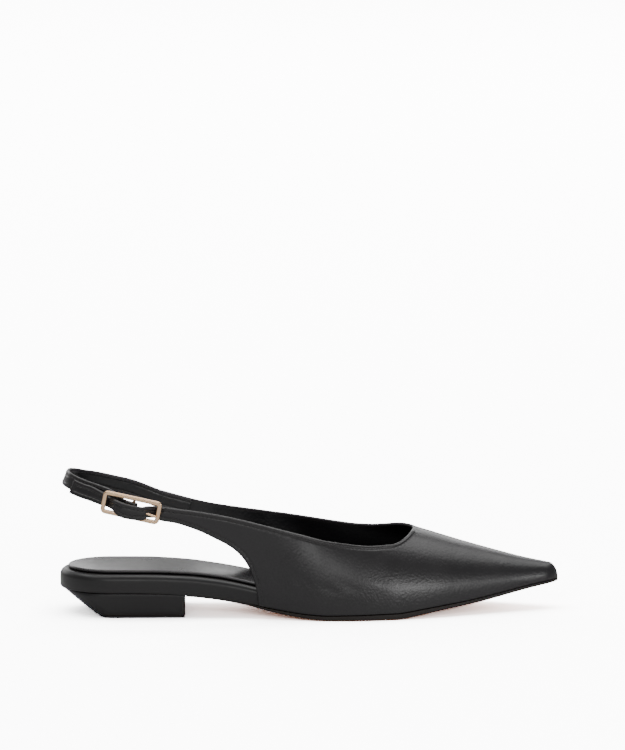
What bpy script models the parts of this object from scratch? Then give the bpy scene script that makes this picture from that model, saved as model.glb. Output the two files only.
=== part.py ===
"""Slingback pump: one right shoe with a pointed toe, a low block heel and a buckled sling strap.

Metres. +X runs towards the toe, +Z up, -Y is the outer (lateral) side. The origin is the centre
of the heel's resting face, on the floor.
"""
import math
from collections import namedtuple

import bmesh
import bpy
from mathutils import Matrix, Vector

# Overall sizes of the shoe
LENGTH = 0.2705
HEEL_SETBACK = 0.0465
BALL_WIDTH = 0.073
HEEL_HEIGHT = 0.014
TOE_SPRING = 0.0150
THROAT_HEIGHT = 0.0448
COLLAR_HEIGHT = 0.0626

# Leather, and the gap that two pieces keep
WALL = 0.0015
GAP = 0.0003

# Plan of the ends and of the mouth
SEAT_ROUND = 0.028
NOSE_LENGTH = 0.0075
THROAT_AT = 0.1915
THROAT_DEPTH = 0.0155
OUTER_THROAT_POWER = 1.8
INNER_THROAT_POWER = 1.5
OUTER_FLARE = 0.0080
INNER_FLARE = 0.0090
OUTER_FLARE_END = 0.50
INNER_FLARE_END = 0.60
FLARE_FADE = 0.16

# Quarters: where the narrow strap end starts, and where the rear edge meets the sole
STRAP_END_AT = 0.0550
QUARTER_SWEEP = 0.0520
BILLET_WIDTH = 0.0080
INNER_END_WIDTH = 0.0100

# Sole and insole
SOLE_THICKNESS = 0.0032
SOLE_INSET = 0.0030
SOLE_WAIST_END = 0.36
SOLE_WAIST_FADE = 0.06
BOARD_THICKNESS = 0.0102
BOARD_THIN = 0.0022
BOARD_END_GAP = 0.0040
RIM_RADIUS = 0.0018
SOCK_THICKNESS = 0.0018
SOCK_THIN = 0.0012
SOCK_INSET = 0.0044
SOCK_FRONT_INSET = 0.0010
SOCK_END_HALF_WIDTH = 0.0010
SOCK_CROWN = 0.0007

# Heel block and top piece
HEEL_BREAST_X = 0.0209
HEEL_BACK_X = 0.0260
HEEL_FOOT_HALF_WIDTH = 0.0240
HEEL_FOOT_STRAIGHT = 0.0120
HEEL_FOOT_SQUARE = 5.0
HEEL_TOP_SETIN = 0.0016
TIP_THICKNESS = 0.0014
TIP_SETIN = 0.0004

# Sling strap
STRAP_WIDTH = 0.0084
STRAP_END_WIDTH = 0.0098
STRAP_THICKNESS = 0.0018
STRAP_REAR_HEIGHT = 0.0741
STRAP_HALF_SPAN = 0.734 * BALL_WIDTH / 2
STRAP_BACK_X = 0.0433
STRAP_FRONT_X = 0.0150
STRAP_ROUND = 2.4
STRAP_LEAN = math.radians(21)
SIDE_LEAN = math.radians(4)
FOLD_WIDTH = 0.0060
FOLD_THICKNESS = 0.0011
STRAP_LAP = 0.0160
SLOT_PLAY = 0.0004
SLOT_DEPTH = 0.0090
TAIL_DROP = 0.0016

# Turns round the heel, in degrees from its back, through which strap and billet's tail pass
INNER_TURNS = (72, 60, 48, 36, 24, 12)
OUTER_TURNS = (0, 12, 24, 36, 47)
TAIL_TURNS = (46, 40, 34, 28)

# Turns of the strap's fold round the centre bar, in degrees
FOLD_TURNS = (-90, -45, 0, 45, 90, 125)

# Buckle
BUCKLE_LENGTH = 0.0325
BUCKLE_HEIGHT = 0.0128
BUCKLE_THICKNESS = 0.0018
BUCKLE_BAR = 0.0024
BUCKLE_CORNER = 0.0028
BUCKLE_EDGE = 0.0005
CENTRE_BAR_RADIUS = 0.0008
CENTRE_BAR_AT = 0.0010
PRONG_RADIUS = 0.0007
PRONG_LENGTH = 0.0137
PRONG_DIP = 0.0018
BUCKLE_SETBACK = 0.0085
BUCKLE_STAND_OFF = 0.0032
BUCKLE_RISE = 0.837 * STRAP_REAR_HEIGHT
BUCKLE_CENTRE = (-BUCKLE_SETBACK, -STRAP_HALF_SPAN - BUCKLE_STAND_OFF, BUCKLE_RISE)
BUCKLE_SLOPE = math.radians(11.4)
BUCKLE_TURN = math.radians(8.5)
HOLE_AT = 0.0094
HOLE_LENGTH = 0.0058
HOLE_HEIGHT = 0.0026

# Heights, out of the shoe from the buckle's middle plane, of the faces that lie on each other
BILLET_UNDER_BAR = -BUCKLE_THICKNESS / 2 - GAP
PRONG_RING = CENTRE_BAR_RADIUS + GAP + PRONG_RADIUS
BILLET_OVER_FOLD = PRONG_RING + PRONG_RADIUS + GAP + WALL
STRAP_UNDER_TAIL = BILLET_UNDER_BAR - WALL - GAP - STRAP_THICKNESS / 2
TAIL_STAND_OFF = STRAP_THICKNESS / 2 + 2 * GAP + WALL

# Fineness of the faceted surfaces
RISE_STEPS = 10
SECTION_STEPS = 5

OUTER = -1
INNER = 1

# Plan of the footbed, as shares of half the ball width, and the height of the
# last over the foot, as shares of the throat's height. The ridge is only met by the
# leather in front of the throat. Places are shares of the length from the back.
Form = namedtuple("Form", "at outer inner ridge")
FORM = (
    Form(0.000, 0.700, 0.690, 3.60),
    Form(0.100, 0.715, 0.700, 3.52),
    Form(0.172, 0.725, 0.695, 3.42),
    Form(0.246, 0.710, 0.650, 3.20),
    Form(0.320, 0.700, 0.590, 2.86),
    Form(0.394, 0.755, 0.610, 2.36),
    Form(0.468, 0.885, 0.730, 1.84),
    Form(0.523, 0.970, 0.860, 1.50),
    Form(0.579, 0.990, 0.935, 1.29),
    Form(0.652, 0.935, 0.940, 1.117),
    Form(0.708, 0.840, 0.870, 1.012),
    Form(0.760, 0.720, 0.760, 0.915),
    Form(0.800, 0.610, 0.655, 0.840),
    Form(0.874, 0.395, 0.450, 0.712),
    Form(0.930, 0.235, 0.295, 0.622),
    Form(1.000, 0.060, 0.120, 0.535),
)

# Underside of the outsole: its rise over the arch as shares of the heel's height,
# its rise to the toe as shares of the toe spring, and its own thickness.
Tread = namedtuple("Tread", "at arch spring thick")
TREAD = (
    Tread(0.000, 0.900, 0.000, 0.28),
    Tread(0.172, 0.885, 0.000, 0.28),
    Tread(0.253, 0.815, 0.000, 0.28),
    Tread(0.312, 0.680, 0.000, 0.30),
    Tread(0.394, 0.390, 0.000, 0.44),
    Tread(0.442, 0.205, 0.000, 0.60),
    Tread(0.482, 0.085, 0.000, 0.70),
    Tread(0.516, 0.020, 0.000, 0.78),
    Tread(0.534, 0.000, 0.000, 0.82),
    Tread(0.600, 0.000, 0.000, 0.92),
    Tread(0.671, 0.000, 0.000, 1.00),
    Tread(0.693, 0.000, 0.035, 1.00),
    Tread(0.719, 0.000, 0.115, 0.92),
    Tread(0.745, 0.000, 0.195, 0.82),
    Tread(0.771, 0.000, 0.270, 0.74),
    Tread(0.808, 0.000, 0.365, 0.65),
    Tread(0.841, 0.000, 0.460, 0.62),
    Tread(0.874, 0.000, 0.575, 0.58),
    Tread(0.922, 0.000, 0.750, 0.52),
    Tread(0.963, 0.000, 0.890, 0.46),
    Tread(1.000, 0.000, 1.000, 0.38),
)

# Height of the topline on each side, as shares of the collar's height.
Collar = namedtuple("Collar", "at outer inner")
COLLAR = (
    Collar(0.000, 1.230, 1.220),
    Collar(0.200, 1.000, 0.975),
    Collar(0.289, 0.941, 0.878),
    Collar(0.364, 0.875, 0.823),
    Collar(0.401, 0.833, 0.800),
    Collar(0.445, 0.782, 0.768),
    Collar(0.488, 0.733, 0.741),
    Collar(0.525, 0.690, 0.721),
    Collar(0.565, 0.660, 0.702),
    Collar(0.600, 0.638, 0.690),
    Collar(0.628, 0.629, 0.688),
    Collar(0.651, 0.630, 0.699),
)

# Rear edge of a quarter: from the strap end down to the sole, as shares of the sweep
# forwards and of the strap end's height over the sole.
Sweep = namedtuple("Sweep", "forward height")
SWEEP = (
    Sweep(0.000, 1.000),
    Sweep(0.130, 0.975),
    Sweep(0.262, 0.930),
    Sweep(0.417, 0.862),
    Sweep(0.552, 0.787),
    Sweep(0.698, 0.700),
    Sweep(0.815, 0.590),
    Sweep(0.905, 0.440),
    Sweep(0.960, 0.275),
    Sweep(0.990, 0.120),
    Sweep(1.000, 0.000),
)

# Thickness of the wrapped board from heel to ball, between full and thin.
Board = namedtuple("Board", "at full")
BOARD = (
    Board(0.000, 1.00),
    Board(0.300, 1.00),
    Board(0.394, 0.90),
    Board(0.460, 0.60),
    Board(0.530, 0.20),
    Board(0.590, 0.00),
    Board(1.000, 0.00),
)

# Height of the strap's middle, as shares of its height at the back of the heel.
# Places are shares of the way from the back to the quarter's strap end.
Sling = namedtuple("Sling", "forward outer inner")
SLING = (
    Sling(0.00, 1.000, 1.000),
    Sling(0.08, 0.990, 0.988),
    Sling(0.19, 0.965, 0.957),
    Sling(0.34, 0.935, 0.927),
    Sling(0.48, 0.900, 0.896),
    Sling(0.68, 0.850, 0.853),
    Sling(1.10, 0.760, 0.745),
)

# Billet through the buckle: places from the middle as shares of half the buckle's length,
# offsets across it as shares of half its height, and the lift from under the bars to over the fold.
Billet = namedtuple("Billet", "along over lift wide")
BILLET = (
    Billet(0.86, 0.02, 0.00, 0.84),
    Billet(0.73, -0.01, 0.22, 0.74),
    Billet(0.58, -0.03, 0.66, 0.74),
    Billet(0.42, -0.22, 0.97, 0.94),
    Billet(0.07, -0.30, 1.00, 1.00),
    Billet(-0.28, -0.27, 0.97, 1.00),
    Billet(-0.54, -0.05, 0.74, 0.78),
    Billet(-0.68, -0.01, 0.40, 0.74),
    Billet(-0.83, 0.02, 0.00, 0.76),
    Billet(-1.00, 0.12, 0.00, 0.90),
)

# Strap under the buckle, from the tail to the fold: places as shares of half the buckle's length,
# offsets as shares of half its height, lifts as shares of the strap's thickness, and how much
# of the strap's full width and thickness is left.
Under = namedtuple("Under", "along over lift full")
UNDER_BUCKLE = (
    Under(-0.90, 0.448, 0.000, 0.87),
    Under(-0.62, 0.241, 0.167, 0.56),
    Under(-0.34, 0.069, 0.778, 0.00),
)

REAR_X = -HEEL_SETBACK
TOE_X = REAR_X + LENGTH
THROAT_X = REAR_X + THROAT_AT
FLARE = {OUTER: OUTER_FLARE, INNER: INNER_FLARE}
FLARE_END = {OUTER: OUTER_FLARE_END, INNER: INNER_FLARE_END}
END_WIDTH = {OUTER: BILLET_WIDTH, INNER: INNER_END_WIDTH}
THROAT_POWER = {OUTER: OUTER_THROAT_POWER, INNER: INNER_THROAT_POWER}


def read(table, column, at):
    """Value of a table's column at a place, on a smooth curve that never overshoots a row."""
    places = [getattr(row, table[0]._fields[0]) for row in table]
    values = [getattr(row, column) for row in table]
    if at <= places[0]:
        return values[0]
    if at >= places[-1]:
        return values[-1]
    steps = [b - a for a, b in zip(places, places[1:])]
    slopes = [(b - a) / step for a, b, step in zip(values, values[1:], steps)]
    index = max(i for i, place in enumerate(places) if place <= at)
    tangents = [knot_slope(slopes, steps, k) for k in (index, index + 1)]
    step = steps[index]
    u = (at - places[index]) / step
    return (values[index] * (1 + 2 * u) * (1 - u) ** 2 + tangents[0] * step * u * (1 - u) ** 2
            + values[index + 1] * u * u * (3 - 2 * u) + tangents[1] * step * u * u * (u - 1))


def knot_slope(slopes, steps, knot):
    """Slope of the smooth curve at one row: a harmonic mean, and level at a peak or dip."""
    if knot == 0:
        return slopes[0]
    if knot == len(slopes):
        return slopes[-1]
    before, after = slopes[knot - 1], slopes[knot]
    if before * after <= 0:
        return 0.0
    heavy = 2 * steps[knot] + steps[knot - 1]
    light = steps[knot] + 2 * steps[knot - 1]
    return (heavy + light) / (heavy / before + light / after)


def ease(value):
    """Smooth step from 0 to 1."""
    value = min(1.0, max(0.0, value))
    return value * value * (3 - 2 * value)


def spread(low, high, count):
    """Evenly spaced values, both ends included."""
    return [low + (high - low) * i / count for i in range(count + 1)]


def share(x):
    """Place along the shoe, from 0 at the back to 1 at the toe."""
    return (x - REAR_X) / LENGTH


def rounding(distance, radius):
    """Width of a round end at a distance from its tip, as a share of the full width."""
    left = 1 - min(1.0, max(0.0, distance / radius))
    return math.sqrt(1 - left * left)


def plan(x, tip_x=TOE_X, inset=0.0):
    """Middle line and half width of the footbed's plan, with a round seat and a round nose."""
    outer = read(FORM, "outer", share(x)) * BALL_WIDTH / 2
    inner = read(FORM, "inner", share(x)) * BALL_WIDTH / 2
    ends = rounding(x - REAR_X - inset, SEAT_ROUND - inset) * rounding(tip_x - x, NOSE_LENGTH)
    return (inner - outer) / 2, ((inner + outer) / 2 - inset) * ends


def tread_height(x):
    """Height of the outsole's underside."""
    return (read(TREAD, "arch", share(x)) * HEEL_HEIGHT
            + read(TREAD, "spring", share(x)) * TOE_SPRING)


def feather_height(x):
    """Height of the line where upper and footbed sit on the outsole."""
    return tread_height(x) + read(TREAD, "thick", share(x)) * SOLE_THICKNESS + GAP


def flare(x, side):
    """How far a quarter leans out over the waist; it fades towards the ball."""
    return FLARE[side] * ease((FLARE_END[side] - share(x)) / FLARE_FADE)


def skin(x, angle, side):
    """Point of the upper's outer face: angle 0 is at the sole, a right angle is at the ridge."""
    middle, half = plan(x)
    nose = rounding(TOE_X - x, NOSE_LENGTH)
    half += (WALL + GAP) * nose
    low = feather_height(x)
    rise = (read(FORM, "ridge", share(x)) * THROAT_HEIGHT - low) * nose
    out = half * math.cos(angle) + flare(x, side) * math.sin(2 * angle)
    return Vector((x, middle + side * out, low + rise * math.sin(angle)))


def angle_at_height(x, height):
    """Angle up the section at which the outer face has a height."""
    low = feather_height(x)
    rise = read(FORM, "ridge", share(x)) * THROAT_HEIGHT - low
    return math.asin(min(1.0, max(0.0, (height - low) / rise)))


def topline_angle(x, side):
    """Where the outer face ends above: at the collar, round the throat, then at the ridge."""
    if x >= THROAT_X:
        return math.pi / 2
    column = "outer" if side == OUTER else "inner"
    start = THROAT_X - THROAT_DEPTH
    if x <= start:
        return angle_at_height(x, read(COLLAR, column, share(x)) * COLLAR_HEIGHT)
    widest = math.cos(topline_angle(start, side))
    left = (x - start) / THROAT_DEPTH
    return math.acos(widest * math.sqrt(1 - left ** THROAT_POWER[side]))


def strap_end_x():
    return REAR_X + STRAP_END_AT


def strap_end_height(side):
    """Height of the strap end's lower edge, at the foot of the topline there."""
    column = "outer" if side == OUTER else "inner"
    top = read(COLLAR, column, share(strap_end_x())) * COLLAR_HEIGHT
    return top - END_WIDTH[side]


def rear_edge(side, steps):
    """Places and heights down a quarter's rear edge, evenly spaced along it."""
    low = feather_height(strap_end_x() + QUARTER_SWEEP)
    rise = strap_end_height(side) - low
    fine = []
    for row, after in zip(SWEEP, SWEEP[1:]):
        for u in spread(0, 1, 8)[:-1]:
            forward = row.forward + (after.forward - row.forward) * u
            height = row.height + (after.height - row.height) * u
            fine.append((forward * QUARTER_SWEEP, height * rise))
    fine.append((QUARTER_SWEEP, 0.0))
    walk = [0.0]
    for a, b in zip(fine, fine[1:]):
        walk.append(walk[-1] + math.dist(a, b))
    edge = []
    for target in spread(0, walk[-1], steps):
        i = min(len(fine) - 2, max(k for k, done in enumerate(walk) if done <= target))
        u = (target - walk[i]) / (walk[i + 1] - walk[i])
        forward = fine[i][0] + (fine[i + 1][0] - fine[i][0]) * u
        height = fine[i][1] + (fine[i + 1][1] - fine[i][1]) * u
        edge.append((strap_end_x() + forward, low + height))
    return edge


def quarter_columns(side):
    """Columns of points up the outer face, from the strap end to the toe."""
    columns = []
    edge = rear_edge(side, 18)
    for x, height in edge[:-1]:
        columns.append((x, angle_at_height(x, height)))
    throat_start = THROAT_X - THROAT_DEPTH
    for x in spread(edge[-1][0], throat_start, 10)[:-1]:
        columns.append((x, 0.0))
    for turn in spread(0, math.pi / 2, 8):
        columns.append((throat_start + THROAT_DEPTH * math.sin(turn), 0.0))
    nose_start = TOE_X - NOSE_LENGTH
    for x in spread(THROAT_X, nose_start, 9)[1:]:
        columns.append((x, 0.0))
    for turn in spread(0, math.pi / 2, 5)[1:]:
        columns.append((nose_start + NOSE_LENGTH * math.sin(turn), 0.0))
    rows = []
    for x, low in columns:
        high = topline_angle(x, side)
        rows.append([skin(x, angle, side) for angle in spread(low, high, RISE_STEPS)])
    return rows


def buckle_axes():
    """Unit vectors of the buckle: forwards along the strap, across it, and out of the shoe."""
    forward = Vector((math.cos(BUCKLE_SLOPE) * math.cos(BUCKLE_TURN),
                      -math.cos(BUCKLE_SLOPE) * math.sin(BUCKLE_TURN),
                      -math.sin(BUCKLE_SLOPE)))
    out = Vector((-math.sin(BUCKLE_TURN), -math.cos(BUCKLE_TURN), 0.0))
    across = out.cross(forward)
    if across.z < 0:
        across = -across
    return forward, across, out


def at_buckle(along, over, beyond):
    """World point from the buckle's own coordinates."""
    forward, across, out = buckle_axes()
    return Vector(BUCKLE_CENTRE) + forward * along + across * over + out * beyond


def sling_point(turn, side, stand_off=0.0, drop=0.0):
    """Point on the strap's middle line: turn 0 is the back of the heel, a right angle its end."""
    reach = STRAP_FRONT_X + STRAP_BACK_X
    along = math.cos(turn) ** (2 / STRAP_ROUND)
    wide = math.sin(turn) ** (2 / STRAP_ROUND)
    column = "outer" if side == OUTER else "inner"
    x = STRAP_FRONT_X - (reach + stand_off) * along
    forward = (x - REAR_X) / (strap_end_x() - REAR_X)
    height = read(SLING, column, forward) * STRAP_REAR_HEIGHT - drop
    return Vector((x, side * (STRAP_HALF_SPAN + stand_off) * wide, height))


def smooth_path(points, per_span):
    """Points on a smooth curve through the given ones."""
    ends = [points[0] * 2 - points[1]] + list(points) + [points[-1] * 2 - points[-2]]
    path = []
    for a, b, c, d in zip(ends, ends[1:], ends[2:], ends[3:]):
        for u in spread(0, 1, per_span)[:-1]:
            path.append(0.5 * (2 * b + (c - a) * u + (2 * a - 5 * b + 4 * c - d) * u * u
                               + (3 * b - a - 3 * c + d) * u ** 3))
    path.append(points[-1].copy())
    return path


def across_path(path, guides):
    """Direction across a band at each point of its path, square to the path."""
    widths = []
    for i, guide in enumerate(guides):
        ahead = path[min(i + 1, len(path) - 1)]
        behind = path[max(i - 1, 0)]
        tangent = (ahead - behind).normalized()
        widths.append((guide - tangent * guide.dot(tangent)).normalized())
    return widths


def grid_faces(bm, rows, closed=False):
    """Skins a grid of vertices; closed joins the last column to the first."""
    count = len(rows[0])
    for row, after in zip(rows, rows[1:]):
        for j in range(count if closed else count - 1):
            k = (j + 1) % count
            bm.faces.new((row[j], after[j], after[k], row[k]))


def finish_mesh(bm, name):
    """Merges the seams, points the faces outwards and makes the mesh's object."""
    bmesh.ops.remove_doubles(bm, verts=bm.verts, dist=0.00002)
    bmesh.ops.dissolve_degenerate(bm, edges=bm.edges, dist=0.000005)
    bmesh.ops.recalc_face_normals(bm, faces=bm.faces)
    mesh = bpy.data.meshes.new(name)
    bm.to_mesh(mesh)
    bm.free()
    piece = bpy.data.objects.new(name, mesh)
    SHOE.objects.link(piece)
    return piece


def loft(name, sections):
    """Closed solid through rings of points; a ring of no width is zipped shut."""
    bm = bmesh.new()
    rows = [[bm.verts.new(point) for point in section] for section in sections]
    grid_faces(bm, rows, closed=True)
    for row, section in ((rows[0], sections[0]), (rows[-1], sections[-1])):
        wide = max(p.y for p in section) - min(p.y for p in section)
        if wide > 0.0001:
            bm.faces.new(row)
    return finish_mesh(bm, name)


def finish(piece, colour, roughness, metallic=0.0, smooth=math.radians(40)):
    """Gives a piece its material and its shading."""
    material = bpy.data.materials.new(piece.name)
    material.use_nodes = True
    shader = material.node_tree.nodes["Principled BSDF"]
    shader.inputs["Base Color"].default_value = (*colour, 1.0)
    shader.inputs["Roughness"].default_value = roughness
    shader.inputs["Metallic"].default_value = metallic
    material.diffuse_color = (*colour, 1.0)
    piece.data.materials.append(material)
    piece.data.shade_smooth()
    piece.data.set_sharp_from_angle(angle=smooth)
    return piece


def baked(piece):
    """Turns a piece and its modifiers into a plain mesh with its place in it."""
    graph = bpy.context.evaluated_depsgraph_get()
    mesh = bpy.data.meshes.new_from_object(piece.evaluated_get(graph))
    mesh.transform(piece.matrix_world)
    name = piece.name
    bpy.data.objects.remove(piece)
    bm = bmesh.new()
    bm.from_mesh(mesh)
    bpy.data.meshes.remove(mesh)
    return finish_mesh(bm, name)


def cut(piece, cutter, operation="DIFFERENCE"):
    """Cuts or joins with an exact Boolean, and keeps the cutter out of the model."""
    for holder in list(cutter.users_collection):
        holder.objects.unlink(cutter)
    CUTTERS.objects.link(cutter)
    cutter.hide_render = True
    cutter.display_type = "WIRE"
    tool = piece.modifiers.new(operation.lower(), "BOOLEAN")
    tool.operation = operation
    tool.solver = "EXACT"
    tool.object = cutter


def buckle_matrix(along=0.0, over=0.0, beyond=0.0):
    """Places a piece in the buckle's own axes."""
    forward, across, out = buckle_axes()
    turn = Matrix((forward, across, out)).transposed().to_4x4()
    return Matrix.Translation(at_buckle(along, over, beyond)) @ turn


def billet_rows():
    """Columns of the billet: from the quarter's strap end, through the buckle, to its tail."""
    _, across, _ = buckle_axes()
    start = [skin(strap_end_x(), angle, OUTER) for angle in
             spread(angle_at_height(strap_end_x(), strap_end_height(OUTER)),
                    topline_angle(strap_end_x(), OUTER), RISE_STEPS)]
    middle = (start[0] + start[-1]) / 2
    points = [middle]
    shares = [1.0]
    for row in BILLET:
        shares.append(row.wide)
        height = BILLET_UNDER_BAR + (BILLET_OVER_FOLD - BILLET_UNDER_BAR) * row.lift
        points.append(at_buckle(row.along * BUCKLE_LENGTH / 2, row.over * BUCKLE_HEIGHT / 2, height))
    guides = [across] * len(points)
    for degrees in TAIL_TURNS:
        turn = math.radians(degrees)
        points.append(sling_point(turn, OUTER, TAIL_STAND_OFF, TAIL_DROP))
        guides.append(lean_guide(turn, OUTER))
        shares.append(1.0)
    path = smooth_path(points, 3)
    wide = across_path(path, smooth_path(guides, 3))
    sizes = smooth_path([Vector((share, 0.0, 0.0)) for share in shares], 3)
    rows = []
    for centre, width, size in list(zip(path, wide, sizes))[1:]:
        reach = width * BILLET_WIDTH * size.x
        rows.append([centre + reach * step for step in spread(-0.5, 0.5, RISE_STEPS)])
    return rows[::-1]


def lean_guide(turn, side):
    """Up the strap's width: it leans forwards round the heel and a little inwards at the sides."""
    lean = STRAP_LEAN * math.cos(turn) ** 2 + SIDE_LEAN * math.sin(turn) ** 2
    inward = Vector((math.cos(turn), -side * math.sin(turn), 0.0))
    return Vector((0.0, 0.0, math.cos(lean))) + inward * math.sin(lean)


def make_upper():
    """Vamp, quarters and billet: one lasted leather wall, open above, behind and below."""
    bm = bmesh.new()
    for side in (OUTER, INNER):
        rows = quarter_columns(side)
        if side == OUTER:
            rows = billet_rows() + rows
        grid_faces(bm, [[bm.verts.new(point) for point in row] for row in rows])
    bmesh.ops.remove_doubles(bm, verts=bm.verts, dist=0.00002)
    bmesh.ops.dissolve_degenerate(bm, edges=bm.edges, dist=0.000005)
    bmesh.ops.recalc_face_normals(bm, faces=bm.faces)
    outermost = min(bm.faces, key=lambda face: face.calc_center_median().y)
    if outermost.normal.y > 0:
        bmesh.ops.reverse_faces(bm, faces=bm.faces)
    mesh = bpy.data.meshes.new("upper")
    bm.to_mesh(mesh)
    bm.free()
    upper = bpy.data.objects.new("upper", mesh)
    SHOE.objects.link(upper)
    wall = upper.modifiers.new("wall", "SOLIDIFY")
    wall.thickness = WALL
    wall.offset = -1.0
    upper = baked(upper)
    bpy.ops.mesh.primitive_cube_add(size=1.0)
    hole = bpy.context.object
    hole.name = "prong_hole"
    hole.data.transform(Matrix.Diagonal((HOLE_LENGTH, HOLE_HEIGHT, 4 * WALL, 1.0)))
    hole.matrix_world = buckle_matrix(HOLE_AT, -PRONG_DIP * 0.72, PRONG_RING)
    cut(upper, hole)
    return finish(upper, (0.012, 0.011, 0.012), 0.38)


def board_thickness(x):
    return BOARD_THIN + (BOARD_THICKNESS - BOARD_THIN) * read(BOARD, "full", share(x))


def board_stations(end_x):
    """Stations along the board: close together where its ends are round."""
    turns = [SEAT_ROUND * (1 - math.cos(t)) for t in spread(0, math.pi / 2, 8)]
    seat = [REAR_X + turn for turn in turns]
    middle = spread(REAR_X + SEAT_ROUND, end_x - NOSE_LENGTH, 18)[1:]
    nose = [end_x - NOSE_LENGTH * (1 - math.sin(t)) for t in spread(0, math.pi / 2, 4)[1:]]
    return seat + middle + nose


def make_footbed():
    """Wrapped board: thick at heel and waist with a rounded rim, thin inside the forefoot."""
    end_x = TOE_X - BOARD_END_GAP
    sections = []
    for x in board_stations(end_x):
        middle, half = plan(x, end_x)
        low = feather_height(x)
        high = low + board_thickness(x)
        rim = min(RIM_RADIUS, half / 2, (high - low) / 3)
        ring = [(-half, low)]
        for turn in spread(0, math.pi / 2, 3):
            ring.append((-half + rim * (1 - math.cos(turn)), high - rim * (1 - math.sin(turn))))
        ring += [(-y, z) for y, z in reversed(ring)]
        sections.append([Vector((x, middle + y, z)) for y, z in ring])
    return finish(loft("footbed", sections), (0.014, 0.012, 0.012), 0.40)


def make_sock():
    """Padded sock: inset from the rim, gently crowned, thinner in the forefoot."""
    start = REAR_X + SOCK_INSET
    end_x = TOE_X - BOARD_END_GAP - NOSE_LENGTH
    sections = []
    for x in [start] + [x for x in board_stations(end_x) if x > start + GAP]:
        full = read(BOARD, "full", share(x))
        inset = SOCK_FRONT_INSET + (SOCK_INSET - SOCK_FRONT_INSET) * full
        middle, half = plan(x, end_x, inset)
        half = max(half, SOCK_END_HALF_WIDTH)
        low = feather_height(x) + board_thickness(x) + GAP
        thick = SOCK_THIN + (SOCK_THICKNESS - SOCK_THIN) * full
        crown = SOCK_CROWN * min(1.0, half / (BALL_WIDTH / 4))
        ring = [(-half, low), (-half, low + thick * 0.6)]
        for along in spread(-0.93, 0.93, SECTION_STEPS):
            ring.append((half * along, low + thick + crown * (1 - along * along)))
        ring += [(half, low + thick * 0.6), (half, low)]
        sections.append([Vector((x, middle + y, z)) for y, z in ring])
    return finish(loft("insole_sock", sections), (0.016, 0.015, 0.016), 0.33)


def sole_plan(x):
    """Outsole's outline: inset under the waist, flush with the upper from the ball on."""
    middle, half = plan(x)
    nose = rounding(TOE_X - x, NOSE_LENGTH)
    out = (WALL + GAP) - (SOLE_INSET + WALL) * (1 - ease((share(x) - SOLE_WAIST_END) / SOLE_WAIST_FADE))
    return middle, half + out * nose


def make_outsole():
    """Thin sole from the heel's breast to the toe, with its arch, flat tread and toe spring."""
    start = HEEL_BREAST_X + GAP
    nose_start = TOE_X - NOSE_LENGTH
    flat = [REAR_X + row.at * LENGTH for row in TREAD if start < REAR_X + row.at * LENGTH < nose_start]
    nose = [nose_start + NOSE_LENGTH * math.sin(t) for t in spread(0, math.pi / 2, 5)]
    sections = []
    for x in [start] + flat + nose:
        middle, half = sole_plan(x)
        low = tread_height(x)
        high = feather_height(x) - GAP
        bevel = min((high - low) * 0.3, half / 3)
        ring = [(-half + bevel, low), (-half, low + bevel), (-half, high)]
        ring += [(-y, z) for y, z in reversed(ring)]
        sections.append([Vector((x, middle + y, z)) for y, z in ring])
    return finish(loft("outsole", sections), (0.30, 0.12, 0.06), 0.45)


def heel_ring(height):
    """Outline of the heel at a height: a flat breast, then a back that slants in below."""
    up = height / (feather_height(0.0) - GAP)
    back = -HEEL_BACK_X + (REAR_X + HEEL_TOP_SETIN + HEEL_BACK_X) * up
    bend_x = -HEEL_FOOT_STRAIGHT + (REAR_X + SEAT_ROUND + HEEL_FOOT_STRAIGHT) * up
    power = HEEL_FOOT_SQUARE + (2 - HEEL_FOOT_SQUARE) * up
    sides = []
    for side in (OUTER, INNER):
        points = []
        for x in (HEEL_BREAST_X, bend_x):
            middle, full = plan(x)
            half = HEEL_FOOT_HALF_WIDTH + (full - HEEL_TOP_SETIN / 2 - HEEL_FOOT_HALF_WIDTH) * up
            points.append((x, side * half + middle * up))
        for turn in spread(0, math.pi / 2, 10)[1:]:
            wide = max(0.0, math.cos(turn)) ** (2 / power)
            along = math.sin(turn) ** (2 / power)
            points.append((bend_x + (back - bend_x) * along, points[1][1] * wide))
        sides.append(points)
    outline = sides[0] + sides[1][::-1][1:]
    return [Vector((x, y, height)) for x, y in outline]


def heel_block(low, high, setin=0.0):
    """Solid between two heights of the heel's slanted outline."""
    bm = bmesh.new()
    rows = []
    for height in (low, high):
        ring = heel_ring(height)
        centre = sum(ring, Vector()) / len(ring)
        ring = [p + (centre - p).normalized() * setin for p in ring]
        for point in ring:
            point.z = height
        rows.append([bm.verts.new(point) for point in ring])
    grid_faces(bm, rows, closed=True)
    for row in rows:
        bm.faces.new(row)
    return bm


def make_heel():
    """Covered block under the seat, cut to the seat's underside."""
    bm = heel_block(TIP_THICKNESS + GAP, feather_height(0.0) - GAP)
    lowered = [v for v in bm.verts if v.co.z > HEEL_HEIGHT / 2]
    for vertex in lowered:
        vertex.co.z = feather_height(vertex.co.x) - GAP
    return finish(finish_mesh(bm, "heel"), (0.018, 0.015, 0.014), 0.42)


def make_heel_tip():
    """Thin top piece that the heel stands on."""
    bm = heel_block(0.0, TIP_THICKNESS, TIP_SETIN)
    return finish(finish_mesh(bm, "heel_tip"), (0.02, 0.018, 0.017), 0.6)


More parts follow.
